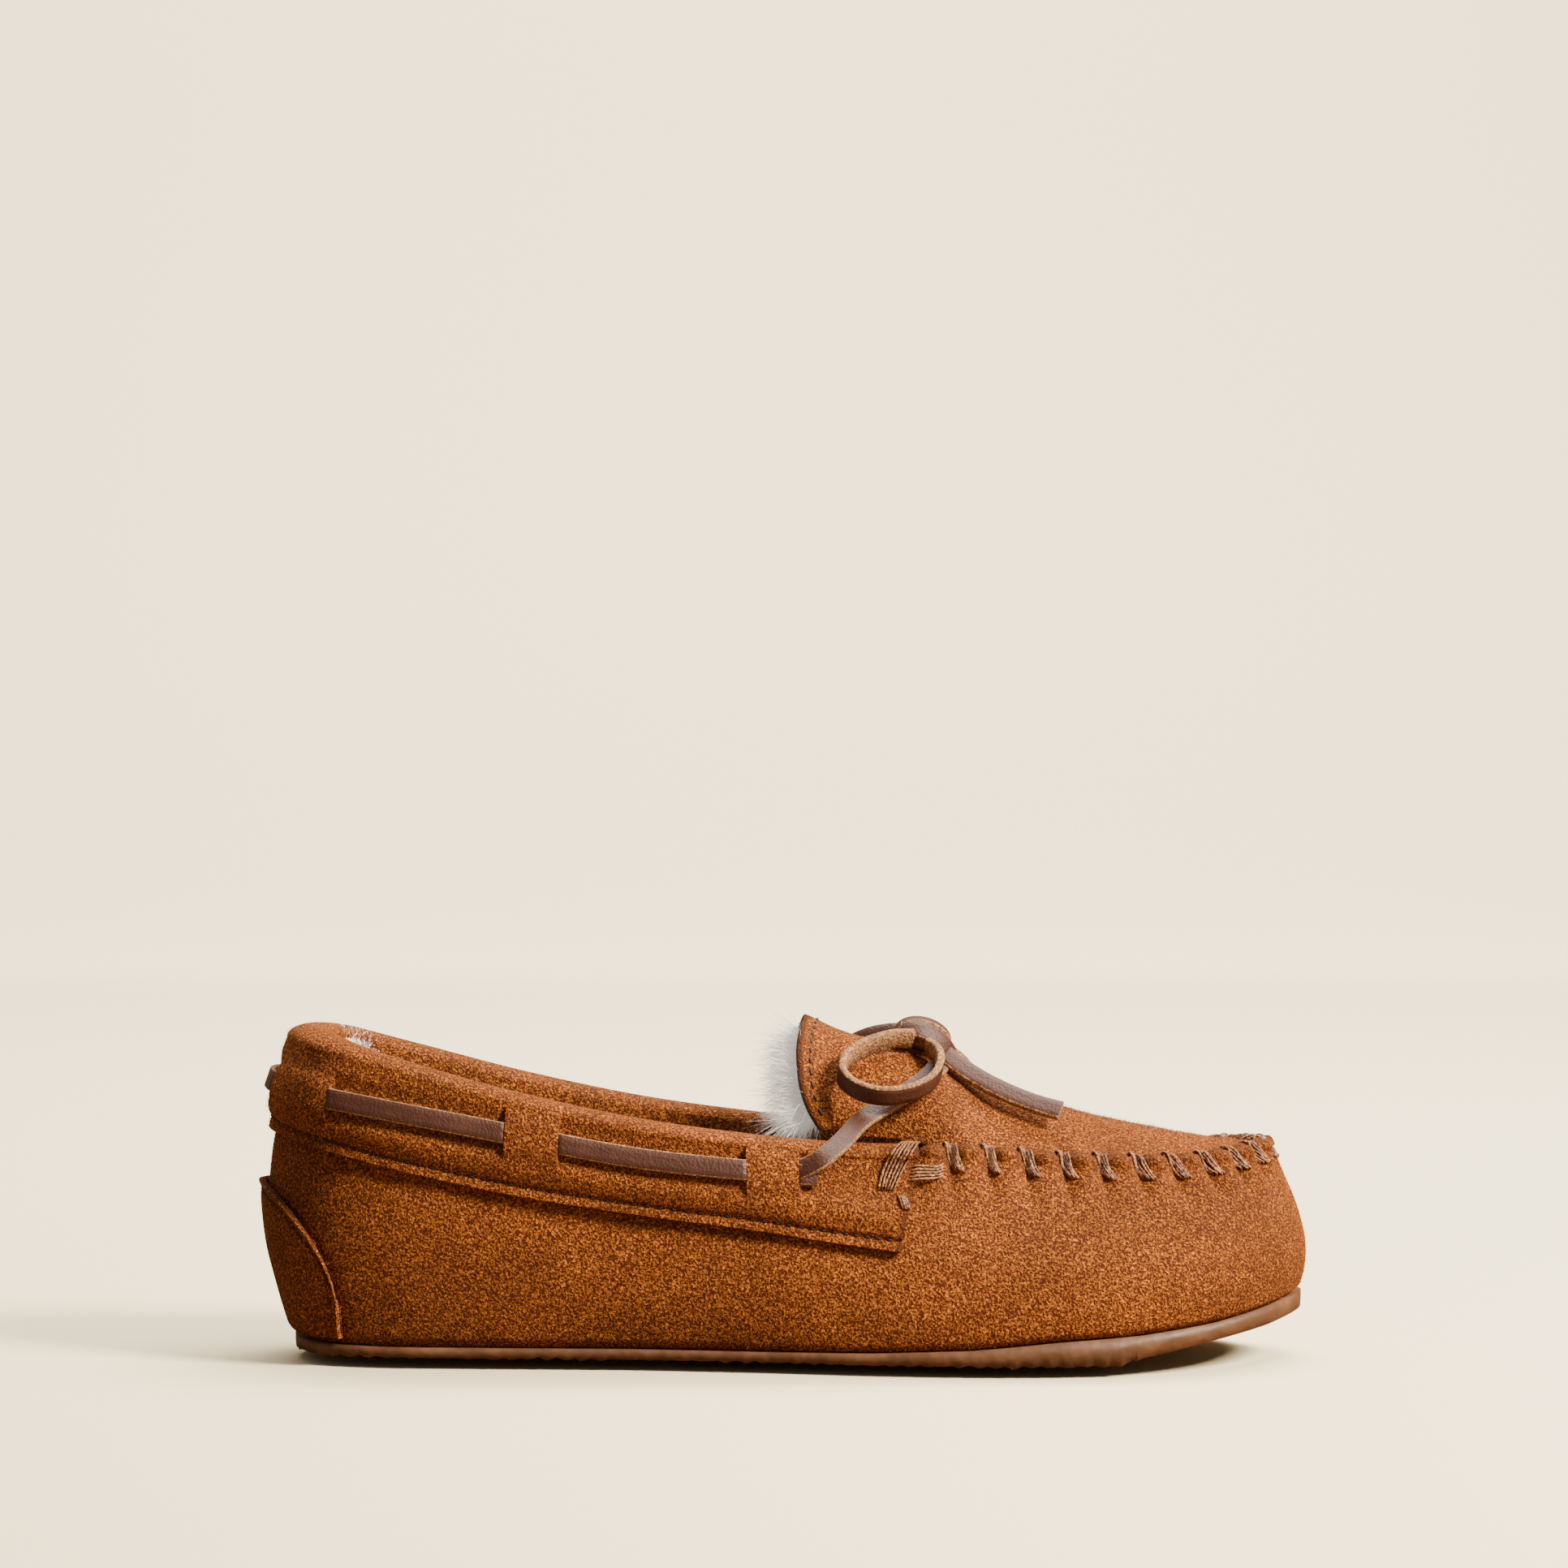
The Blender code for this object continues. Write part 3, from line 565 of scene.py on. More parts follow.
mirrorY = np.array((1.0, -1.0, 1.0))
for label, turn in (("lateral", 1), ("medial", -1)):
    flipY = mirrorY if turn < 0 else np.ones(3)
    path = curveThrough(np.array(bow["loop"]) * flipY, 10)
    loop = strapObject(f"laceLoop_{label}", path, np.array(bow["loopAxis"]) * flipY,
                       bow["width"], bow["thick"], side=turn, ripple=bow["ripple"])
    declareLace(loop, f"loop_{label}", f"lace_loop_{label}")
    tailName = "tailOuter" if turn > 0 else "tailInner"
    path = curveThrough(bow[tailName], 10)
    up = np.array((0.25, -0.85 * turn, 0.6))
    across = np.cross(np.gradient(path, axis=0), up)
    tail = strapObject(f"laceTail_{label}", path, across, bow["width"], bow["thick"], side=-1,
                       ripple=bow["ripple"])
    declareLace(tail, f"tail_{label}", f"lace_tail_{label}")
    lengths = (pathLength(curveThrough(bow["loop"], 10)), pathLength(path))
    print(label, "loop and tail", *(round(length, 4) for length in lengths))


# How uneven each piece of suede lies, as depth, size and draw of two overlaid waves
uneven = {"wrap": ((0.45, 46.0, 3), (0.18, 17.0, 4)), "collar": ((0.42, 33.0, 12), (0.22, 13.0, 13)),
          "tongue": ((0.5, 30.0, 21), (0.2, 12.0, 22)), "apron": ((0.45, 34.0, 31), (0.18, 12.0, 32))}


def softness(points, piece):
    return sum(depth * wave(points, size, seed) for depth, size, seed in uneven[piece])


def middleLine(u, reach=(34.0, 224.0)):
    row = smooth(ring, u)
    halfway = (row[:, 1] + smooth(ring, ringCount - u)[:, 1]) / 2
    return np.stack((np.clip(row[:, 0], *reach), halfway, row[:, 2]), -1)


# Wrap: the body's suede, with the puckers and the rolled ridge that the whip stitches pull up
seam = {"start": 6.5, "pitch": 9.05, "firstStitch": 9.5, "pucker": 2.8, "ridge": 3.2, "ridgeWidth": 5.4,
        "groove": 0.7, "grooveAt": 0.45, "grooveWide": 0.1, "tuck": 0.8, "tuckTall": 0.035}
seamU = np.linspace(seam["start"], ringCount - seam["start"], 900)
seamLine = wall(seamU, 1.0)
seamRun = np.concatenate(((0.0,), np.cumsum(np.linalg.norm(np.diff(seamLine, axis=0), axis=1))))


def seamRunAt(u):
    return np.interp(np.asarray(u, float), seamU, seamRun)


def stitchPhase(u):
    return (seamRunAt(u) - seam["firstStitch"]) / seam["pitch"]


def frontMask(u):
    around = np.where(np.asarray(u) > toeStation, ringCount - u, u)
    return ease(6.25, 6.75, np.abs(around))


def puckered(u, v):
    dip = np.abs(np.sin(math.pi * stitchPhase(u)))
    lobe = dip ** 0.75
    reach = ease(0.7, 0.97, v)
    return frontMask(u) * seam["pucker"] * (lobe - 0.75) * reach


def wrapPoint(u, v, off=0.0):
    place = wall(u, v, off)
    rough = softness(place, "wrap")
    tuck = -seam["tuck"] * (1 - ease(0.0, seam["tuckTall"], v))
    return wall(u, v, off + rough + puckered(u, v) + tuck)


def ridgePoint(u, t):
    turn = t * math.pi
    lobe = np.abs(np.sin(math.pi * stitchPhase(u))) ** 0.6
    mask = np.maximum(frontMask(u), 0.02)
    half = seam["ridgeWidth"] / 2
    height = seam["ridge"] * (0.34 + 0.78 * lobe) * mask
    shape = half * (np.cos(turn) - 1) + puckered(u, 1.0) * (1 - t)
    groove = -seam["groove"] * np.exp(-((t - seam["grooveAt"]) / seam["grooveWide"]) ** 2) * mask
    top = wrapPoint(u, 1.0)
    return top + outward(u) * (shape * mask)[..., None] + np.stack(
        (np.zeros_like(height), np.zeros_like(height), height * np.sin(turn) + groove), -1)


def ringU(count):
    return np.arange(count) * ringCount / count


wrapU = ringU(960)
wrapV = np.concatenate((np.linspace(0, 0.08, 8), np.linspace(0.08, 1.0, 60)[1:]))
under = wrapPoint(wrapU, 0.0)
middle = middleLine(wrapU, (30.0, 228.0)) + np.array((0.0, 0.0, 0.1))
rows = [middle, (middle + under * 3) / 4] + [wrapPoint(wrapU, v) for v in wrapV]
rows += [ridgePoint(wrapU, np.full_like(wrapU, t)) for t in np.linspace(0.08, 1.0, 13)]
wrapGrid = np.stack(rows)
tone = np.zeros(wrapGrid.shape[:2])
# How worn the crest is across its round
crestWear = ((0.1, 0.35, 0.55, 0.75, 1.0), (0.1, 0.5, 0.75, 0.5, 0.1))
tone[-13:] = np.interp(np.linspace(0.08, 1, 13), *crestWear)[:, None]
# painted shade: the rows just under the ridge take the edge colour where the puckers dip at each stitch
tone[-20:-13] = (np.linspace(0, 0.6, 7)[:, None]) * (1 - np.abs(np.sin(math.pi * stitchPhase(wrapU)))[None])
wrapSkin = giveThickness(gridObject("wrapSkin", wrapGrid, "suede", True, tone), leather["wrapShown"])
settle(wrapSkin, "shoe", "suede", "body_wrap")
print("stage: wrap")


# Collar: a padded skin round the top, pressed in where the lace shows and raised where it tunnels
collar = {"lip": 2.5, "lipThick": 2.3, "press": 1.2, "pressWide": 5.0, "tunnel": 1.1, "tunnelWide": 4.8,
          "lean": 0.22, "seamSink": 0.5, "seamWide": 0.55}


def laceHeight(u):
    row = smooth(ring, u)
    return 1 - (byStation(laceDepth, u) - leather["gap"] - leather["wrap"] - leather["collar"]) / (
        row[..., 5] - byStation(collarEdge, u))


def laceShown(u):
    around = np.abs(np.asarray(u, float))
    shown = np.ones_like(around)
    for k, slit in enumerate(slits):
        turn = ease(slit - 0.006, slit + 0.006, around)
        shown += -turn if k % 2 == 0 else turn
    return shown


def collarPoint(u, t, lift=0.0):
    u, t = np.broadcast_arrays(np.asarray(u, float), np.asarray(t, float))
    end = np.sign(u) * collar["lean"] * ease(5.5, heelEnd, np.abs(u)) * (np.minimum(t, 1) - 0.35)
    shown = laceShown(u)
    u = u + end
    row = smooth(ring, u)
    edge = byStation(collarEdge, u)
    low = heightAt(u, edge)
    tall = row[..., 5] - edge
    full = leather["gap"] + leather["collarFull"] + leather["collar"]
    inner = -leather["collarInner"]
    crest = leather["gap"] + leather["wrap"] + leather["collar"]
    rise = np.clip((t * tall - collar["lip"]) / (0.33 * tall), 0, 1)
    stand = collar["lipThick"] + (full - collar["lipThick"]) * np.sin(math.pi / 2 * rise) ** 0.9
    stand = stand - collar["seamSink"] * np.exp(-((t * tall - collar["lip"]) / collar["seamWide"]) ** 2)
    away = np.abs(t - laceHeight(u)) * tall
    stand = stand - shown * np.exp(-(away / collar["pressWide"]) ** 4) * collar["press"]
    stand = stand + (1 - shown) * np.exp(-(away / collar["tunnelWide"]) ** 4) * collar["tunnel"]
    outerSide = wall(u, low + (1 - low) * np.minimum(t, 1), stand + lift)
    turn = (np.clip(t, 1, 2) - 1) * math.pi
    over = wall(u, 1.0, (full + inner) / 2 + ((full - inner) / 2 + lift) * np.cos(turn))
    over[..., 2] += (crest + lift) * np.sin(turn)
    inside = wall(u, 1.0, inner - lift)
    inside[..., 2] -= leather["facing"] * (t - 2)
    place = np.where((t <= 1)[..., None], outerSide, np.where((t <= 2)[..., None], over, inside))
    soft = softness(place, "collar")
    return place + outward(u) * (soft * ease(0.05, 0.4, t) * (1 - 2 * ease(1.2, 1.8, t)))[..., None]


collarU = [np.linspace(-heelEnd, heelEnd, 760)]
for s in slits:
    for offset in (-0.03, -0.014, -0.008, -0.0045, 0.0, 0.0045, 0.008, 0.014, 0.03):
        collarU.append(np.array((s + offset, -s - offset)))
collarU = np.unique(np.concatenate(collarU))
collarT = np.concatenate((np.linspace(0, 0.2, 16), np.linspace(0.2, 1.0, 58)[1:], np.linspace(1, 2, 22)[1:],
                          np.linspace(2, 3, 10)[1:]))
collarGrid = collarPoint(collarU[None, :], collarT[:, None])
lipFoot = collarPoint(collarU, 0.0, -collar["lipThick"] + 0.35)
lipSide = collarPoint(collarU, 0.0, -0.7) - np.array((0, 0, 0.25))
collarGrid = np.concatenate((lipFoot[None], lipSide[None], collarGrid))
tone = np.zeros(collarGrid.shape[:2])
tone[:3] = np.array((1.0, 0.6, 0.1))[:, None]
tone[:, :3] = tone[:, -3:] = 0.8
collarSkin = giveThickness(gridObject("collarSkin", collarGrid, "suede", False, tone), leather["collar"])
settle(collarSkin, "shoe", "suede", "heel_collar", "collar_padding")
print("stage: collar")


# The lace held by the collar: flat outside, diving through the slits into its tunnels
held = {"thick": 1.3, "spanThick": 1.5, "reach": 5.62, "outside": 5.5, "tunnel": 3.6, "dive": 0.045}


def laceStand(u):
    around = np.abs(np.asarray(u, float))
    out = np.ones_like(around)
    for k, slit in enumerate(slits):
        centre = slit + (0.02 if k % 2 == 0 else -0.02)
        turn = ease(centre - held["dive"], centre + held["dive"], around)
        out += -turn if k % 2 == 0 else turn
    return held["tunnel"] + (held["outside"] - held["tunnel"]) * out


def laceOnCollar(u, up):
    row = smooth(ring, u)
    edge = byStation(collarEdge, u)
    low = heightAt(u, edge)
    t = laceHeight(u) + up / (row[..., 5] - edge)
    return wall(u, low + (1 - low) * t, laceStand(u))


heldU = np.linspace(-held["reach"], held["reach"], 900)
heldPath = laceOnCollar(heldU, 0.0)
heldAcross = laceOnCollar(heldU, 1.0) - heldPath
heldLace = strapObject("heldLace", heldPath, heldAcross, bow["width"], held["thick"])
settle(heldLace, "shoe", "leather_lace", "lace")
spanRoute = ((131.0, -37.4, 46.4), (134.0, -38.2, 48.0), (137.2, -38.0, 50.0), (141.6, -33.4, 53.4),
             (145.4, -27.6, 57.0), (149.8, -23.0, 59.6), (155.4, -19.8, 62.6), (161.0, -16.0, 66.0),
             (165.0, -11.4, 69.4))
for label, turn in (("lateral", 1), ("medial", -1)):
    flipY = mirrorY if turn < 0 else np.ones(3)
    path = curveThrough(np.array(spanRoute) * flipY, 12)
    face = np.array((-0.15, -0.85 * turn, 0.5))
    span = strapObject(f"laceSpan_{label}", path, np.cross(np.gradient(path, axis=0), face), bow["width"],
                       held["spanThick"], side=-1, ripple=bow["ripple"])
    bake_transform(span)
    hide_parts(f"lace_span_{label}")
print("stage: held lace")


# Apron and tongue are one piece of suede; the tongue's rear part rises and flares
tongue = {
    "rows": ((176.8, 64.0, 24.6, 48.0), (170.0, 67.4, 24.0, 47.8), (163.0, 70.8, 22.2, 48.6),
             (154.0, 73.8, 20.6, 49.6), (144.0, 76.2, 20.4, 50.4), (132.5, 80.2, 21.6, 52.0)),
    "crown": ((177.5, 63.4), (188.0, 60.4), (203.0, 56.4), (217.0, 53.4), (232.0, 50.6)),
    "start": 7.36, "angle": 84.0, "flare": 0.9, "horns": 5.0, "dip": 1.6,
}
apron = {"pucker": 1.3, "rim": 0.9}
tongueRows = np.array(tongue["rows"])
tongueRows = np.vstack((2 * tongueRows[0] - tongueRows[1], tongueRows, 2 * tongueRows[-1] - tongueRows[-2]))


def apronPoint(u, r, depth=0.0):
    u, r = np.broadcast_arrays(np.asarray(u, float), np.asarray(r, float))
    edge = wall(u, 1.0, -(leather["wrap"] + leather["gap"]))
    row = smooth(ring, u)
    x = np.clip(row[..., 3], creaseX, 232.0)
    crown = np.stack((x, np.interp(x, stations[:, 4], (stations[:, 7] - stations[:, 6]) / 2),
                      np.interp(x, *zip(*tongue["crown"]))), -1)
    place = edge + (crown - edge) * r[..., None]
    place[..., 2] += (crown[..., 2] - edge[..., 2]) * (np.sin(math.pi / 2 * r) ** 0.95 - r) - depth
    return place


def tonguePoint(s, q, depth=0.0):
    s, q = np.broadcast_arrays(np.asarray(s, float), np.asarray(q, float))
    row = smooth(tongueRows, s + 1)
    turn = q * math.radians(tongue["angle"])
    x, crown, half, side = (row[..., k] for k in range(4))
    return np.stack((x - 2 * (1 - np.cos(turn)) * s / 5, (half - depth) * np.sin(turn),
                     side + (crown - side - depth) * np.cos(turn)), -1)


halfQ = 1 - (1 - np.linspace(0, 1, 49)) ** 1.25  # finer towards the crown
tongueQ = np.concatenate((halfQ - 1, 1 - halfQ[-2::-1]))
hingeRow = np.concatenate((apronPoint(tongue["start"], halfQ),
                           apronPoint(ringCount - tongue["start"], halfQ[-2::-1])))
tongueS = np.concatenate((np.linspace(0, 0.3, 6), np.linspace(0.3, 4.97, 74)[1:]))


def tongueSkin(s, q, depth=0.0):
    place = tonguePoint(s, q, depth)
    join = np.stack([np.interp(q, tongueQ, hingeRow[:, k]) for k in range(3)], -1) - tonguePoint(0.0, q)
    soft = softness(place, "tongue")
    flare = tongue["flare"] * ease(4.3, 5.0, s)
    lift = (soft * ease(0, 0.8, s) + flare)[..., None]
    turn = np.asarray(q) * math.radians(tongue["angle"])
    normal = np.stack((0 * turn, np.sin(turn), np.cos(turn)), -1)
    endLine = tongue["horns"] * np.abs(q) ** 6 - tongue["dip"] * np.sin(math.pi * np.abs(q))
    place[..., 0] += ease(3.2, 5.0, s) * endLine
    return place + join * (1 - ease(0.0, 2.4, s))[..., None] + normal * lift


gridS, gridQ = np.meshgrid(tongueS, tongueQ, indexing="ij")
tongueGrid = tongueSkin(gridS, gridQ)
apronU = np.linspace(tongue["start"], ringCount - tongue["start"], 520)
apronGrid = apronPoint(apronU[:, None], halfQ[None, :])
soft = softness(apronGrid, "apron")
gridR = np.broadcast_to(halfQ, soft.shape)
fromCrease = ease(0, 0.5, np.minimum(apronU - tongue["start"], ringCount - tongue["start"] - apronU))[:, None]
inCrown = 1 - ease(0.8, 1.0, gridR)
lobe = np.abs(np.sin(math.pi * stitchPhase(apronU)))[:, None] ** 0.7
apronGrid[..., 2] += soft * fromCrease * inCrown
apronGrid[..., 2] += apron["pucker"] * (lobe - 0.55) * (1 - ease(0.05, 0.3, gridR)) * fromCrease
apronGrid[..., 2] += apron["rim"] * (1 - ease(0, 0.12, gridR)) * fromCrease
tongueSide = gridObject("tongueSkin", tongueGrid, "suede", False, np.where(gridS > 4.9, 0.9, 0.0))
apronSide = gridObject("apronSkin", apronGrid, "suede", False, np.zeros(apronGrid.shape[:2]), flip=True)
joinObjects(apronSide, tongueSide)
bm = bmesh.new()
bm.from_mesh(apronSide.data)
bmesh.ops.remove_doubles(bm, verts=bm.verts, dist=weld["crease"])
bmesh.ops.recalc_face_normals(bm, faces=bm.faces)
if sum(f.normal.z for f in bm.faces) < 0:
    bmesh.ops.reverse_faces(bm, faces=bm.faces)
bm.to_mesh(apronSide.data)
bm.free()
apronSide.data.shade_smooth()
apronSkin = giveThickness(apronSide, leather["wrap"])
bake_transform(apronSkin)
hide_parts("apron", "tongue")
print("stage: apron and tongue")


# Whip stitches: bundles of strands pulled over the ridge
whip = {"strands": 7, "width": 2.5, "radius": 0.29, "slant": 4.4, "steps": 9, "crown": 0.75, "foot": 0.925,
        "climb": 0.15, "footLift": 0.2, "peakLift": 0.35, "farLift": 0.7, "into": 1.4, "down": 1.6}


def uAtRun(run):
    return np.interp(run, seamRun, seamU)


def whipStrands():
    rng = np.random.default_rng(61)
    paths = []
    total = seamRun[-1]
    count = int((total - 2 * seam["firstStitch"]) / seam["pitch"]) + 1
    for k in range(count):
        middle = seam["firstStitch"] + k * seam["pitch"]
        for j in range(whip["strands"]):
            lane = (j - (whip["strands"] - 1) / 2) * whip["width"] / whip["strands"] + rng.normal(0, 0.12)
            way = np.linspace(0, 1, whip["steps"])
            turnSide = 1 if middle < total / 2 else -1
            run = middle + lane + turnSide * whip["slant"] * (0.5 - way) + rng.normal(0, 0.1, way.shape)
            u = uAtRun(run)
            low = wrapPoint(u, whip["foot"] + whip["climb"] * way, whip["footLift"])
            peak = ridgePoint(u, np.clip((way - 0.35) / 0.5, 0.0, 1.0))
            peak = peak + outward(u) * (whip["peakLift"] * (1 - way))[:, None]
            swell = whip["crown"] * (1 - (2 * (j + 0.5) / whip["strands"] - 1) ** 2)
            peak = peak + outward(u) * (swell * (1 - way))[:, None]
            low = low + outward(u) * swell
            peak[:, 2] += whip["peakLift"] + whip["peakLift"] * np.sin(math.pi * way) + swell * way
            far = apronPoint(u, np.clip((way - 0.75) * 0.5, 0, 1))
            far[:, 2] += whip["farLift"]
            rise, fall = ease(0.25, 0.5, way)[:, None], ease(0.68, 0.92, way)[:, None]
            path = low * (1 - rise) + peak * rise
            path = path * (1 - fall) + far * fall
            path[0] -= outward(u)[0] * whip["into"]
            path[-1, 2] -= whip["down"]
            paths.append(curveThrough(path, 3))
    return paths


whipThread = strandObject("whipThread", whipStrands(), whip["radius"], "thread")
settle(whipThread, "shoe", "thread", "apron_whip_thread")

# Tacks bind the collar's front ends to the wrap: one over the top, one round the edge, one short
tacks = {"over": (((6.19, 0.64), (6.21, 0.8), (6.25, 1.0), (6.32, 1.3), (6.38, 1.6)), 6, 0.031),
         "short": (((6.33, 0.62), (6.37, 0.55), (6.405, 0.47)), 4, 0.02)}


def tackStrands(side):
    rng = np.random.default_rng(71)
    paths = []
    for route, strands, wide in tacks.values():
        for j in range(strands):
            lane = (j - (strands - 1) / 2) * wide
            way = curveThrough([(u, t, 0) for u, t in route], 5)
            bowed = np.sin(math.pi * np.linspace(0, 1, len(way)))
            u = side * (way[:, 0] + lane * (0.75 + 0.25 * bowed) + rng.normal(0, 0.002, len(way)))
            crown = 0.5 * (1 - (2 * (j + 0.5) / strands - 1) ** 2) + rng.normal(0, 0.14)
            path = collarPoint(u, way[:, 1], 0.25 + (0.45 + crown) * bowed)
            path[0] -= outward(u)[0] * 1.2
            path[-1] -= outward(u)[-1] * 1.2
            paths.append(path)
    for j in range(5):  # round the front edge into the wrap
        first = collarPoint(side * 6.36, 0.76 + 0.035 * j, 0.5)
        rim = collarPoint(side * (heelEnd + 0.01), 0.79 + 0.035 * j, 0.6)
        last = wrapPoint(side * np.array((6.73, 6.8)) % ringCount, np.array((0.9, 0.91)) + 0.014 * j, 1.2)
        ends = np.array((first, rim, last[0], last[1]))
        ends[0] -= outward(side * 6.37) * 1.0
        ends[3] -= outward(side * 6.8) * 1.5
        paths.append(curveThrough(ends, 6))
    return paths


for label, side in (("lateral", 1), ("medial", -1)):
    tack = strandObject(f"collarTack_{label}", tackStrands(side), 0.3, "thread")
    settle(tack, "shoe", "thread", f"collar_tack_{label}")


def dashes(pointAt, count, length, lift):
    way = np.linspace(-0.5, 0.5, 6)
    paths = []
    for k in range(count):
        place = (k + 0.5 + way * length) / count
        paths.append(pointAt(place, lift - 0.75 * np.abs(2 * way) ** 3))
    return paths


def collarSeamPoint(place, lift):
    u = (place * 2 - 1) * (heelEnd - 0.06)
    tall = smooth(ring, u)[..., 5] - byStation(collarEdge, u)
    return collarPoint(u, collar["lip"] / tall, lift)


collarSeam = strandObject("collarSeam", dashes(collarSeamPoint, 116, 0.6, 0.3), 0.34, "seamThread")
settle(collarSeam, "shoe", "thread", "collar_seam_thread")


def tongueSeamPoint(place, lift):
    q = (place * 2 - 1) * 0.93
    point = tongueSkin(np.full_like(q, 4.72), q)
    middle = np.array((0.0, 0.0, 50.0))
    return point + unit((point - middle) * np.array((0, 1, 1))) * lift[..., None]


tongueSeam = strandObject("tongueSeam", dashes(tongueSeamPoint, 22, 0.66, 0.2), 0.3, "seamThread")
settle(tongueSeam, "tongue", "thread", "tongue_edge_thread")
print("stage: stitches")


# Heel patch with a raised, edge-stitched border
patch = {"reach": 1.5, "half": 36.0, "foot": 5.0, "tall": 36.4, "lipWide": 1.1, "grooveIn": 2.6,
         "grooveWide": 0.5, "cut": 1.6, "cutWide": 0.22, "off": 2.05, "lip": 0.75, "groove": 0.45}


def patchTop(q):
    return patch["foot"] + patch["tall"] * np.sqrt(np.clip(1 - q * q, 0, 1)) ** 0.9


def patchPoint(q, s, lift=0.0):
    u = q * patch["reach"]
    top = heightAt(u, patchTop(q * 0.985))
    v = 0.02 + (top - 0.02) * s
    place = wrapPoint(u, v, 0.0)
    height = wall(u, top)[..., 2] - wall(u, v)[..., 2]
    away = np.minimum(height, (1 - np.abs(q)) * patch["half"])
    stand = patch["off"] + patch["lip"] * np.exp(-(away / patch["lipWide"]) ** 2)
    stand = stand - patch["groove"] * np.exp(-((away - patch["grooveIn"]) / patch["grooveWide"]) ** 2)
    cutEdge = patch["cut"] * np.exp(-(away / patch["cutWide"]) ** 2)
    return place + outward(u) * (stand - cutEdge + lift)[..., None]


patchQ = np.sin(np.linspace(-1, 1, 150) * math.pi / 2)
patchS = 1 - np.linspace(1, 0, 70) ** 1.5
patchGrid = patchPoint(*np.broadcast_arrays(patchQ[None, :], patchS[:, None]))
tone = np.zeros(patchGrid.shape[:2])
tone[-3:] = 0.7
heelPatch = giveThickness(gridObject("heelPatch", patchGrid, "suede", False, tone), leather["patchShown"])
settle(heelPatch, "shoe", "suede", "heel_patch")


def patchSeamPoint(place, lift):
    q = (place * 2 - 1) * 0.93
    top = patchTop(q * 0.985) - patch["foot"]
    return patchPoint(q, 1 - 2.7 / np.maximum(top, 3.2), lift)


patchSeam = strandObject("patchSeam", dashes(patchSeamPoint, 36, 0.62, 0.15), 0.28, "seamThread")
settle(patchSeam, "shoe", "thread", "heel_patch_thread")
print("stage: heel patch")


# Outsole: a thin gum sheet, smooth at the side with a crinkled tread beneath
sole = {"out": 1.0, "crinkle": 0.95,
        "rise": ((207.0, 0.0), (212.0, 2.2), (230.0, 5.6), (244.0, 7.9), (255.0, 10.2)),
        "fine": 0.3325, "tuck": 0.25}


def featherZ(x):
    return np.interp(x, stations[:, 0], stations[:, 1])


def soleRing(inset, share):
    edge = smooth(ring, wrapU)[:, 0:3] + outward(wrapU) * (sole["out"] - inset)
    return edge + (middleLine(wrapU) - edge) * share


def soleLow(place, edgeFade):
    low = np.interp(place[:, 0], *zip(*sole["rise"]))
    flat = place * np.array((1, 1, 0))
    rough = sole["crinkle"] * (0.5 + 0.5 * wave(flat, 3.1, 41))
    rough = rough + sole["fine"] * (0.5 + 0.5 * wave(flat, 1.5, 42))
    return low + rough * (low < 1.5) * edgeFade


soleRows = []
for inset, share, level in ((0.0, 1.0, "top"), (0.0, 0.0, "top"), (0.0, 0.0, 0.55), (0.15, 0.0, "low")):
    place = soleRing(inset, share)
    if level == "top":
        place[:, 2] = featherZ(place[:, 0]) - sole["tuck"]
    elif level == "low":
        place[:, 2] = soleLow(place, 1.0)
    else:
        low = soleLow(place, 0.9)
        place[:, 2] = low + (featherZ(place[:, 0]) - sole["tuck"] - low) * level
    soleRows.append(place)
for share in np.linspace(0, 1, 34)[1:]:
    place = soleRing(0.6, share)
    place[:, 2] = soleLow(place, 1.0)
    soleRows.append(place)
outsoleSkin = gridObject("outsoleSkin", np.stack(soleRows), "gumRubber", True, flip=True)
settle(outsoleSkin, "shoe", "gum_rubber", "outsole")
print("stage: sole")


# Knot: the lace wound over itself
knot = {"centre": (161.2, 0.0, 75.3), "tilt": 14.4, "core": (6.0, 5.6, 3.3), "ripple": 0.03}


def knotWind(radiusX, radiusZ, y0, y1, start, turns, steps):
    way = np.linspace(0, 1, steps)
    angle = math.radians(start) + way * turns * 2 * math.pi
    local = np.stack((radiusX * np.cos(angle), y0 + (y1 - y0) * way, radiusZ * np.sin(angle)), -1)
    tilted = math.radians(knot["tilt"])
    c, s = math.cos(tilted), math.sin(tilted)
    place = np.stack((local[:, 0] * c + local[:, 2] * s, local[:, 1], -local[:, 0] * s + local[:, 2] * c), -1)
    return place + np.array(knot["centre"])


knotParts = []
windings = (("knotBand", 6.4, 3.9, -2.6, 1.6, 150.0, 1.3, 5.0),  # radii, y from and to, start, turns, width
            ("knotBack", 5.4, 3.2, 4.6, 3.4, 40.0, 1.0, 4.6))
for name, rx, rz, y0, y1, start, turns, wide in windings:
    path = knotWind(rx, rz, y0, y1, start, turns, 64)
    part = strapObject(name, path, np.array((0.0, 1.0, 0.12)), wide, 1.4, side=-1, ripple=knot["ripple"])
    knotParts.append(part)
crossings = {"knotFront": (((154.6, -3.0, 75.4), (156.4, -5.6, 77.0), (160.0, -6.6, 77.6), (164.0, -6.2, 75.8),
                            (166.8, -4.8, 73.0), (167.6, -3.0, 70.6)), (0.1, -0.75, 0.6)),
             "knotRear": (((154.8, 3.2, 75.4), (156.8, 5.6, 76.6), (160.4, 6.4, 76.8), (164.4, 5.8, 74.8),
                           (167.4, 4.0, 72.2)), (0.1, 0.75, 0.6))}
for name, (route, face) in crossings.items():
    path = curveThrough(route, 12)
    across = np.cross(np.gradient(path, axis=0), np.array(face))
    part = strapObject(name, path, across, 4.6, 1.5, side=-1, ripple=knot["ripple"])
    knotParts.append(part)
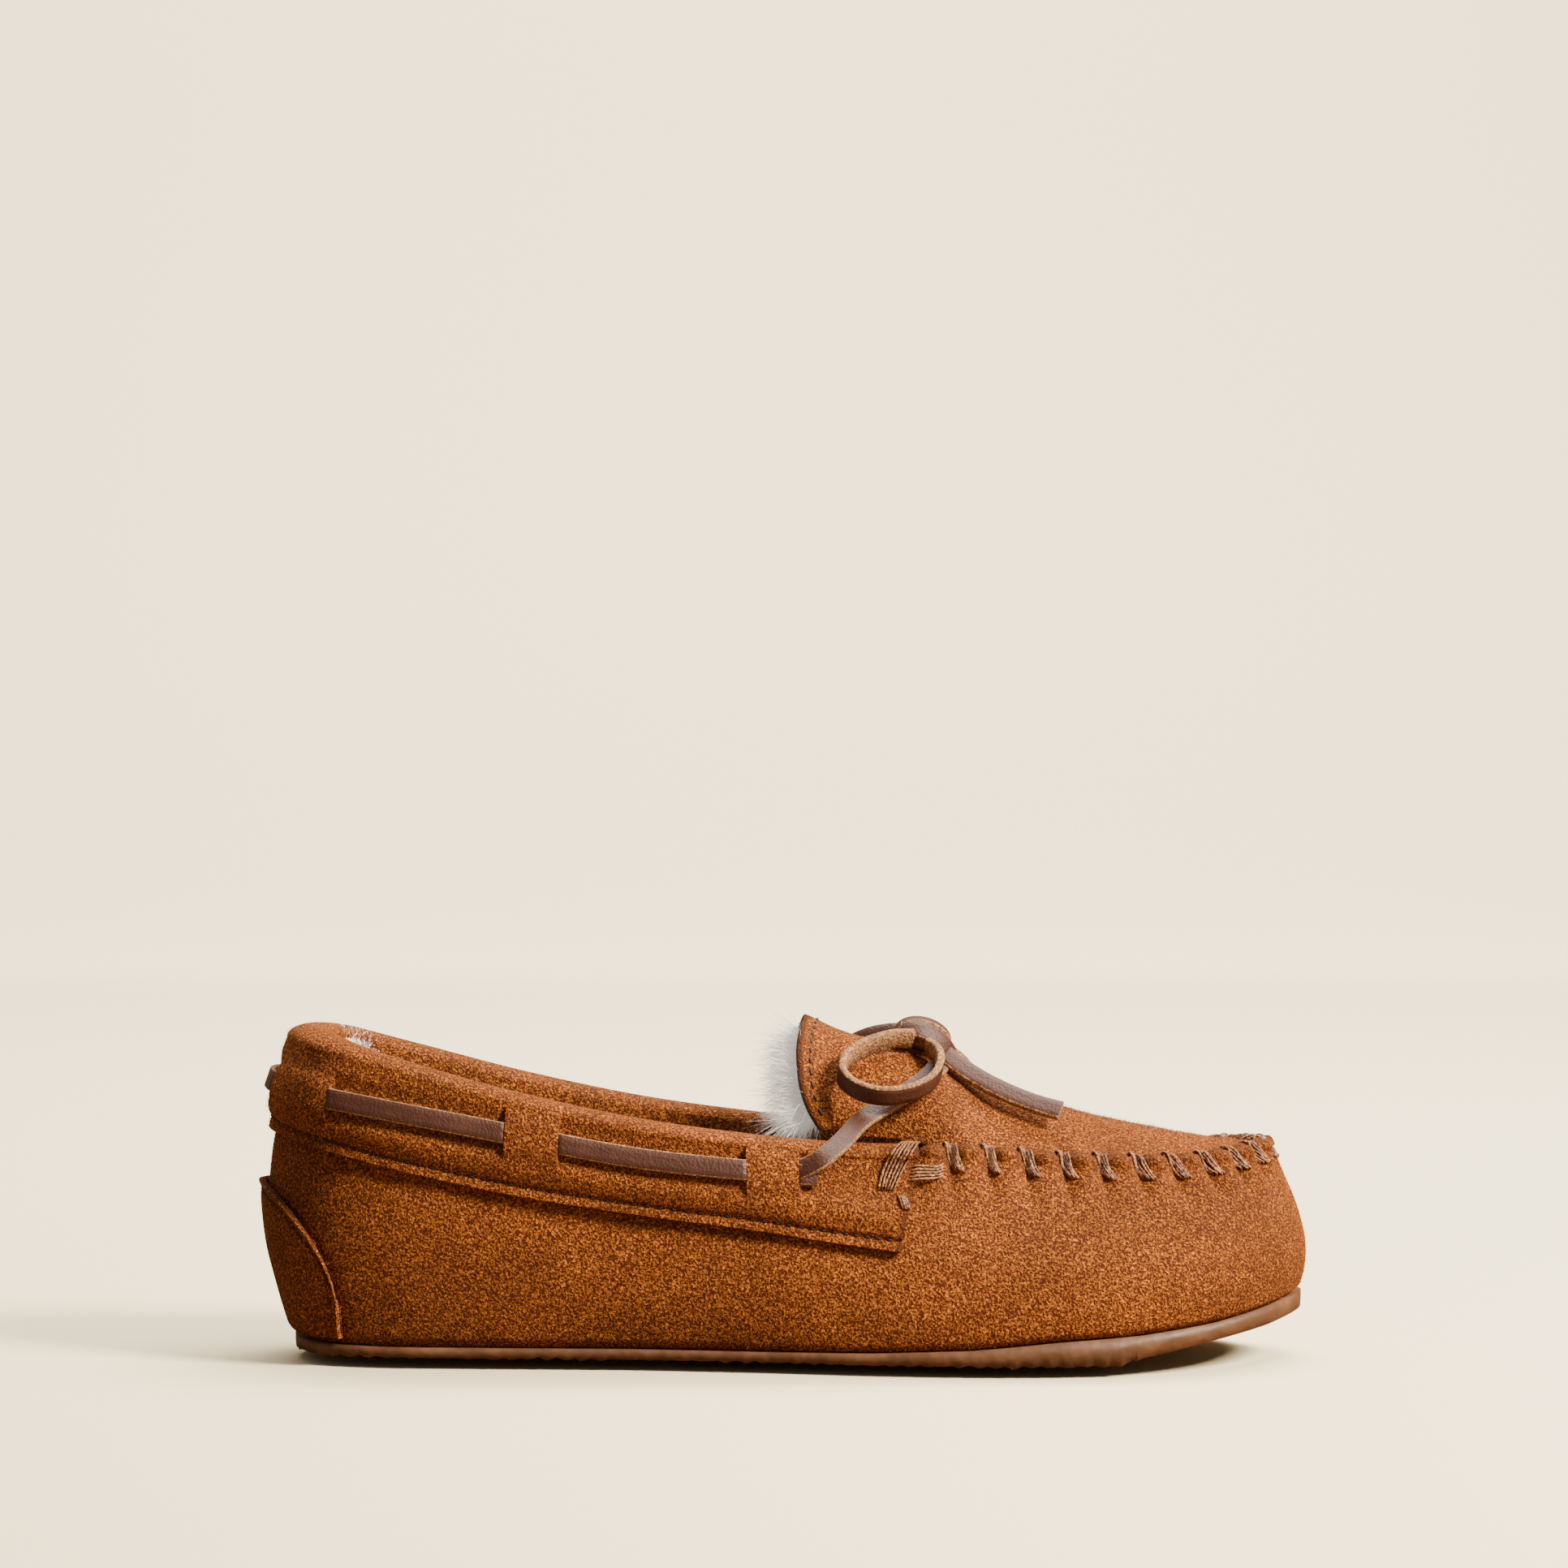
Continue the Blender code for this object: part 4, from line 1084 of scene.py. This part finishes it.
bm = bmesh.new()
bmesh.ops.create_icosphere(bm, subdivisions=5, radius=1.0)
tilted = math.radians(knot["tilt"])
for vert in bm.verts:
    x, y, z = vert.co.x * knot["core"][0], vert.co.y * knot["core"][1], vert.co.z * knot["core"][2]
    x, z = x * math.cos(tilted) + z * math.sin(tilted), -x * math.sin(tilted) + z * math.cos(tilted)
    vert.co = toRow(np.array((x, y, z)) + np.array(knot["centre"]))
coreMesh = bpy.data.meshes.new("knotCore")
bm.to_mesh(coreMesh)
bm.free()
coreMesh.shade_smooth()
coreMesh.materials.append(materials["laceFlesh"])
bowKnot = joinObjects(*knotParts, addObject("knotCore", coreMesh))
bowKnot.name = "bowKnot"
settle(bowKnot, "tongue", "leather_lace", "bow_knot")
print("stage: knot")


# Fur: a woolly skin with longer strands of pile
pile = {
    "body": {"seed": 81, "count": 34000, "spread": 0.55, "clump": 9.0, "clumping": 0.9, "lean": (0, 0, -0.15),
             "lift": 0.8, "length": 6.0, "curl": 0.35, "segments": 3, "width": 0.16, "facing": 1},
    "sock": {"seed": 82, "count": 26000, "spread": 0.5, "clump": 9.0, "clumping": 0.9, "lean": (0, 0, 0.1),
             "lift": 0.7, "length": 5.5, "curl": 0.35, "segments": 3, "width": 0.18, "facing": -1},
    "tongue": {"seed": 83, "count": 9000, "spread": 0.4, "clump": 8.0, "clumping": 0.5, "lean": (-0.2, 0, 0),
               "lift": 1.0, "length": 5.5, "curl": 0.3, "segments": 3, "width": 0.16, "facing": -1},
    "tuft": {"seed": 85, "count": 2600, "spread": 0.35, "clump": 6.0, "clumping": 0.4,
             "lean": (0.1, -0.1, 0.5), "lift": 0.7, "length": 4.6, "curl": 0.3, "segments": 3, "width": 0.16,
             "facing": 1},
    "ruff": {"seed": 84, "least": 0.0, "count": 16000, "spread": 0.3, "clump": 7.0, "clumping": 0.5,
             "lean": (-1.0, 0, -0.25), "lift": 0.3, "length": 11.0, "curl": 0.28, "segments": 4,
             "width": 0.17, "facing": -1},
}


lining = {"foot": 11.4, "stand": 4.5, "rough": 0.5, "pileStand": 4.6, "belowTop": 13.5}
sock = {"edgeAt": 10.5, "off": 2.4, "height": 10.0, "rough": 0.35, "pileFrom": 4}
liningU = np.linspace(-11.95, 11.95, 480)
liningFoot = heightAt(liningU, smooth(ring, liningU)[..., 2] + lining["foot"])
liningV = np.linspace(0, 1, 30)
liningTop = np.where(np.abs(liningU) < heelEnd, 0.985, 0.93)
liningGrid = np.stack([wall(liningU, liningFoot + (liningTop - liningFoot) * v,
                            -lining["stand"] - lining["rough"] * wave(wall(liningU, v), 8.0, 51))
                        for v in liningV])
bodyFleece = gridObject("bodyFleece", liningGrid, "fleeceCloth", False, flip=True)
belowFacing = heightAt(liningU, smooth(ring, liningU)[..., 5] - lining["belowTop"])
pileTop = np.where(np.abs(liningU) < heelEnd + 0.15, belowFacing, 0.9)
pileGrid = np.stack([wall(liningU, liningFoot + (pileTop - liningFoot) * v, -lining["pileStand"])
                     for v in liningV])
bodyPile = bladeObject("bodyPile", pileGrid[:, ::-1], pile["body"])
tuftU, tuftT = np.meshgrid(np.linspace(-1.6, -0.5, 40), np.linspace(2.1, 2.95, 14), indexing="ij")
heelTuft = bladeObject("heelTuft", collarPoint(tuftU, tuftT, 0.2), pile["tuft"],
                       keep=lambda p: np.exp(-((p[:, 0] - 21.5) / 3.9) ** 2))
settle(heelTuft, "shoe", "fur")
settle(bodyFleece, "shoe", "fur", "body_lining_fur")
settle(bodyPile, "shoe", "fur")

sockRows = []
edge = wall(wrapU, heightAt(wrapU, smooth(ring, wrapU)[:, 2] + sock["edgeAt"]), -sock["off"])
for share in np.linspace(0, 1, 26):
    place = edge + (middleLine(wrapU) - edge) * share
    place[:, 2] = featherZ(place[:, 0]) + sock["height"] + sock["rough"] * wave(place, 9.0, 52)
    sockRows.append(place)
sockGrid = np.stack(sockRows)
sockFleece = gridObject("sockFleece", sockGrid, "fleeceCloth", True, flip=True)
sockPile = bladeObject("sockPile", sockGrid[sock["pileFrom"]:, ::-1], pile["sock"])
settle(sockFleece, "shoe", "fur", "sock_fur")
settle(sockPile, "shoe", "fur")

underS, underQ = np.meshgrid(np.linspace(1.4, 4.8, 40), np.linspace(-0.88, 0.88, 50), indexing="ij")
tongueUnder = tonguePoint(underS, underQ, 3.0)
tongueFleece = gridObject("tongueFleece", tongueUnder, "fleeceCloth")
tonguePile = bladeObject("tonguePile", tongueUnder, pile["tongue"])
tongueRuff = bladeObject("tongueRuff", tonguePoint(underS, underQ, 3.6), pile["ruff"],
                         keep=lambda p: 1.0 * (p[:, 0] < 138.0))
settle(tongueFleece, "tongue", "fur", "tongue_fur")
settle(tonguePile, "tongue", "fur")
settle(tongueRuff, "tongue", "fur")

underU, underR = np.meshgrid(np.linspace(7.42, ringCount - 7.42, 160), np.linspace(0.2, 1.0, 24),
                             indexing="ij")
apronUnder = apronPoint(underU, underR, 3.2)
apronFleece = gridObject("apronFleece", apronUnder, "fleeceCloth")
settle(apronFleece, "shoe", "fur", "apron_lining_fur")
print("stage: fur")


# Nap: sparse short fibres that break up the suede's outline
napPile = {"seed": 91, "spread": 0.55, "clump": 5.0, "clumping": 0.5, "lean": (0.25, 0, 0.1),
           "lift": 0.8, "length": 0.75, "curl": 0.3, "segments": 1, "width": 0.11, "facing": 1, "least": 0.25}
for name, grid, count in (("wrapNap", wrapGrid[3:-12], 30000), ("collarNap", collarGrid[3:80, ::3], 15000),
                          ("apronNap", apronGrid[:, ::-1], 10000)):
    fibres = bladeObject(name, grid, {**napPile, "count": count, "seed": napPile["seed"] + count},
                         look="suedeFibre")
    settle(fibres, "shoe", "suede")
print("stage: nap")


# Footbed foam: a cut sheet with softly rounded edges, crowned a little under the foot
foam = {"inset": 3.2, "low": 3.8, "high": 7.6, "crown": 0.15}
foamRows = []
foamU = wrapU[::4]
edge = smooth(ring, foamU)[:, 0:3] - outward(foamU) * foam["inset"]
for share, level in ((1.0, 0.0), (0.5, 0.0), (0.03, 0.0), (0.0, 0.2), (0.0, 0.8), (0.03, 1.0), (0.25, 1.0),
                     (0.6, 1.0), (1.0, 1.0)):
    place = edge + (middleLine(foamU) - edge) * share
    rise = (foam["high"] - foam["low"]) * level + foam["crown"] * share * level
    place[:, 2] = featherZ(place[:, 0]) + foam["low"] + rise
    foamRows.append(place)
footbedFoam = gridObject("footbedFoam", np.stack(foamRows), "foam", True)
settle(footbedFoam, "shoe", "foam", "footbed_foam")

# The board and the counter keep their plain solids and get real materials
for node in ("insole_board", "heel_counter"):
    solid = next(item for item in bpy.data.objects
                 if item.type == "MESH" and node in (item.get("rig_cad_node"), item.name))
    solid.data.materials.clear()
    solid.data.materials.append(materials["board"])
print("stage: hidden layers")
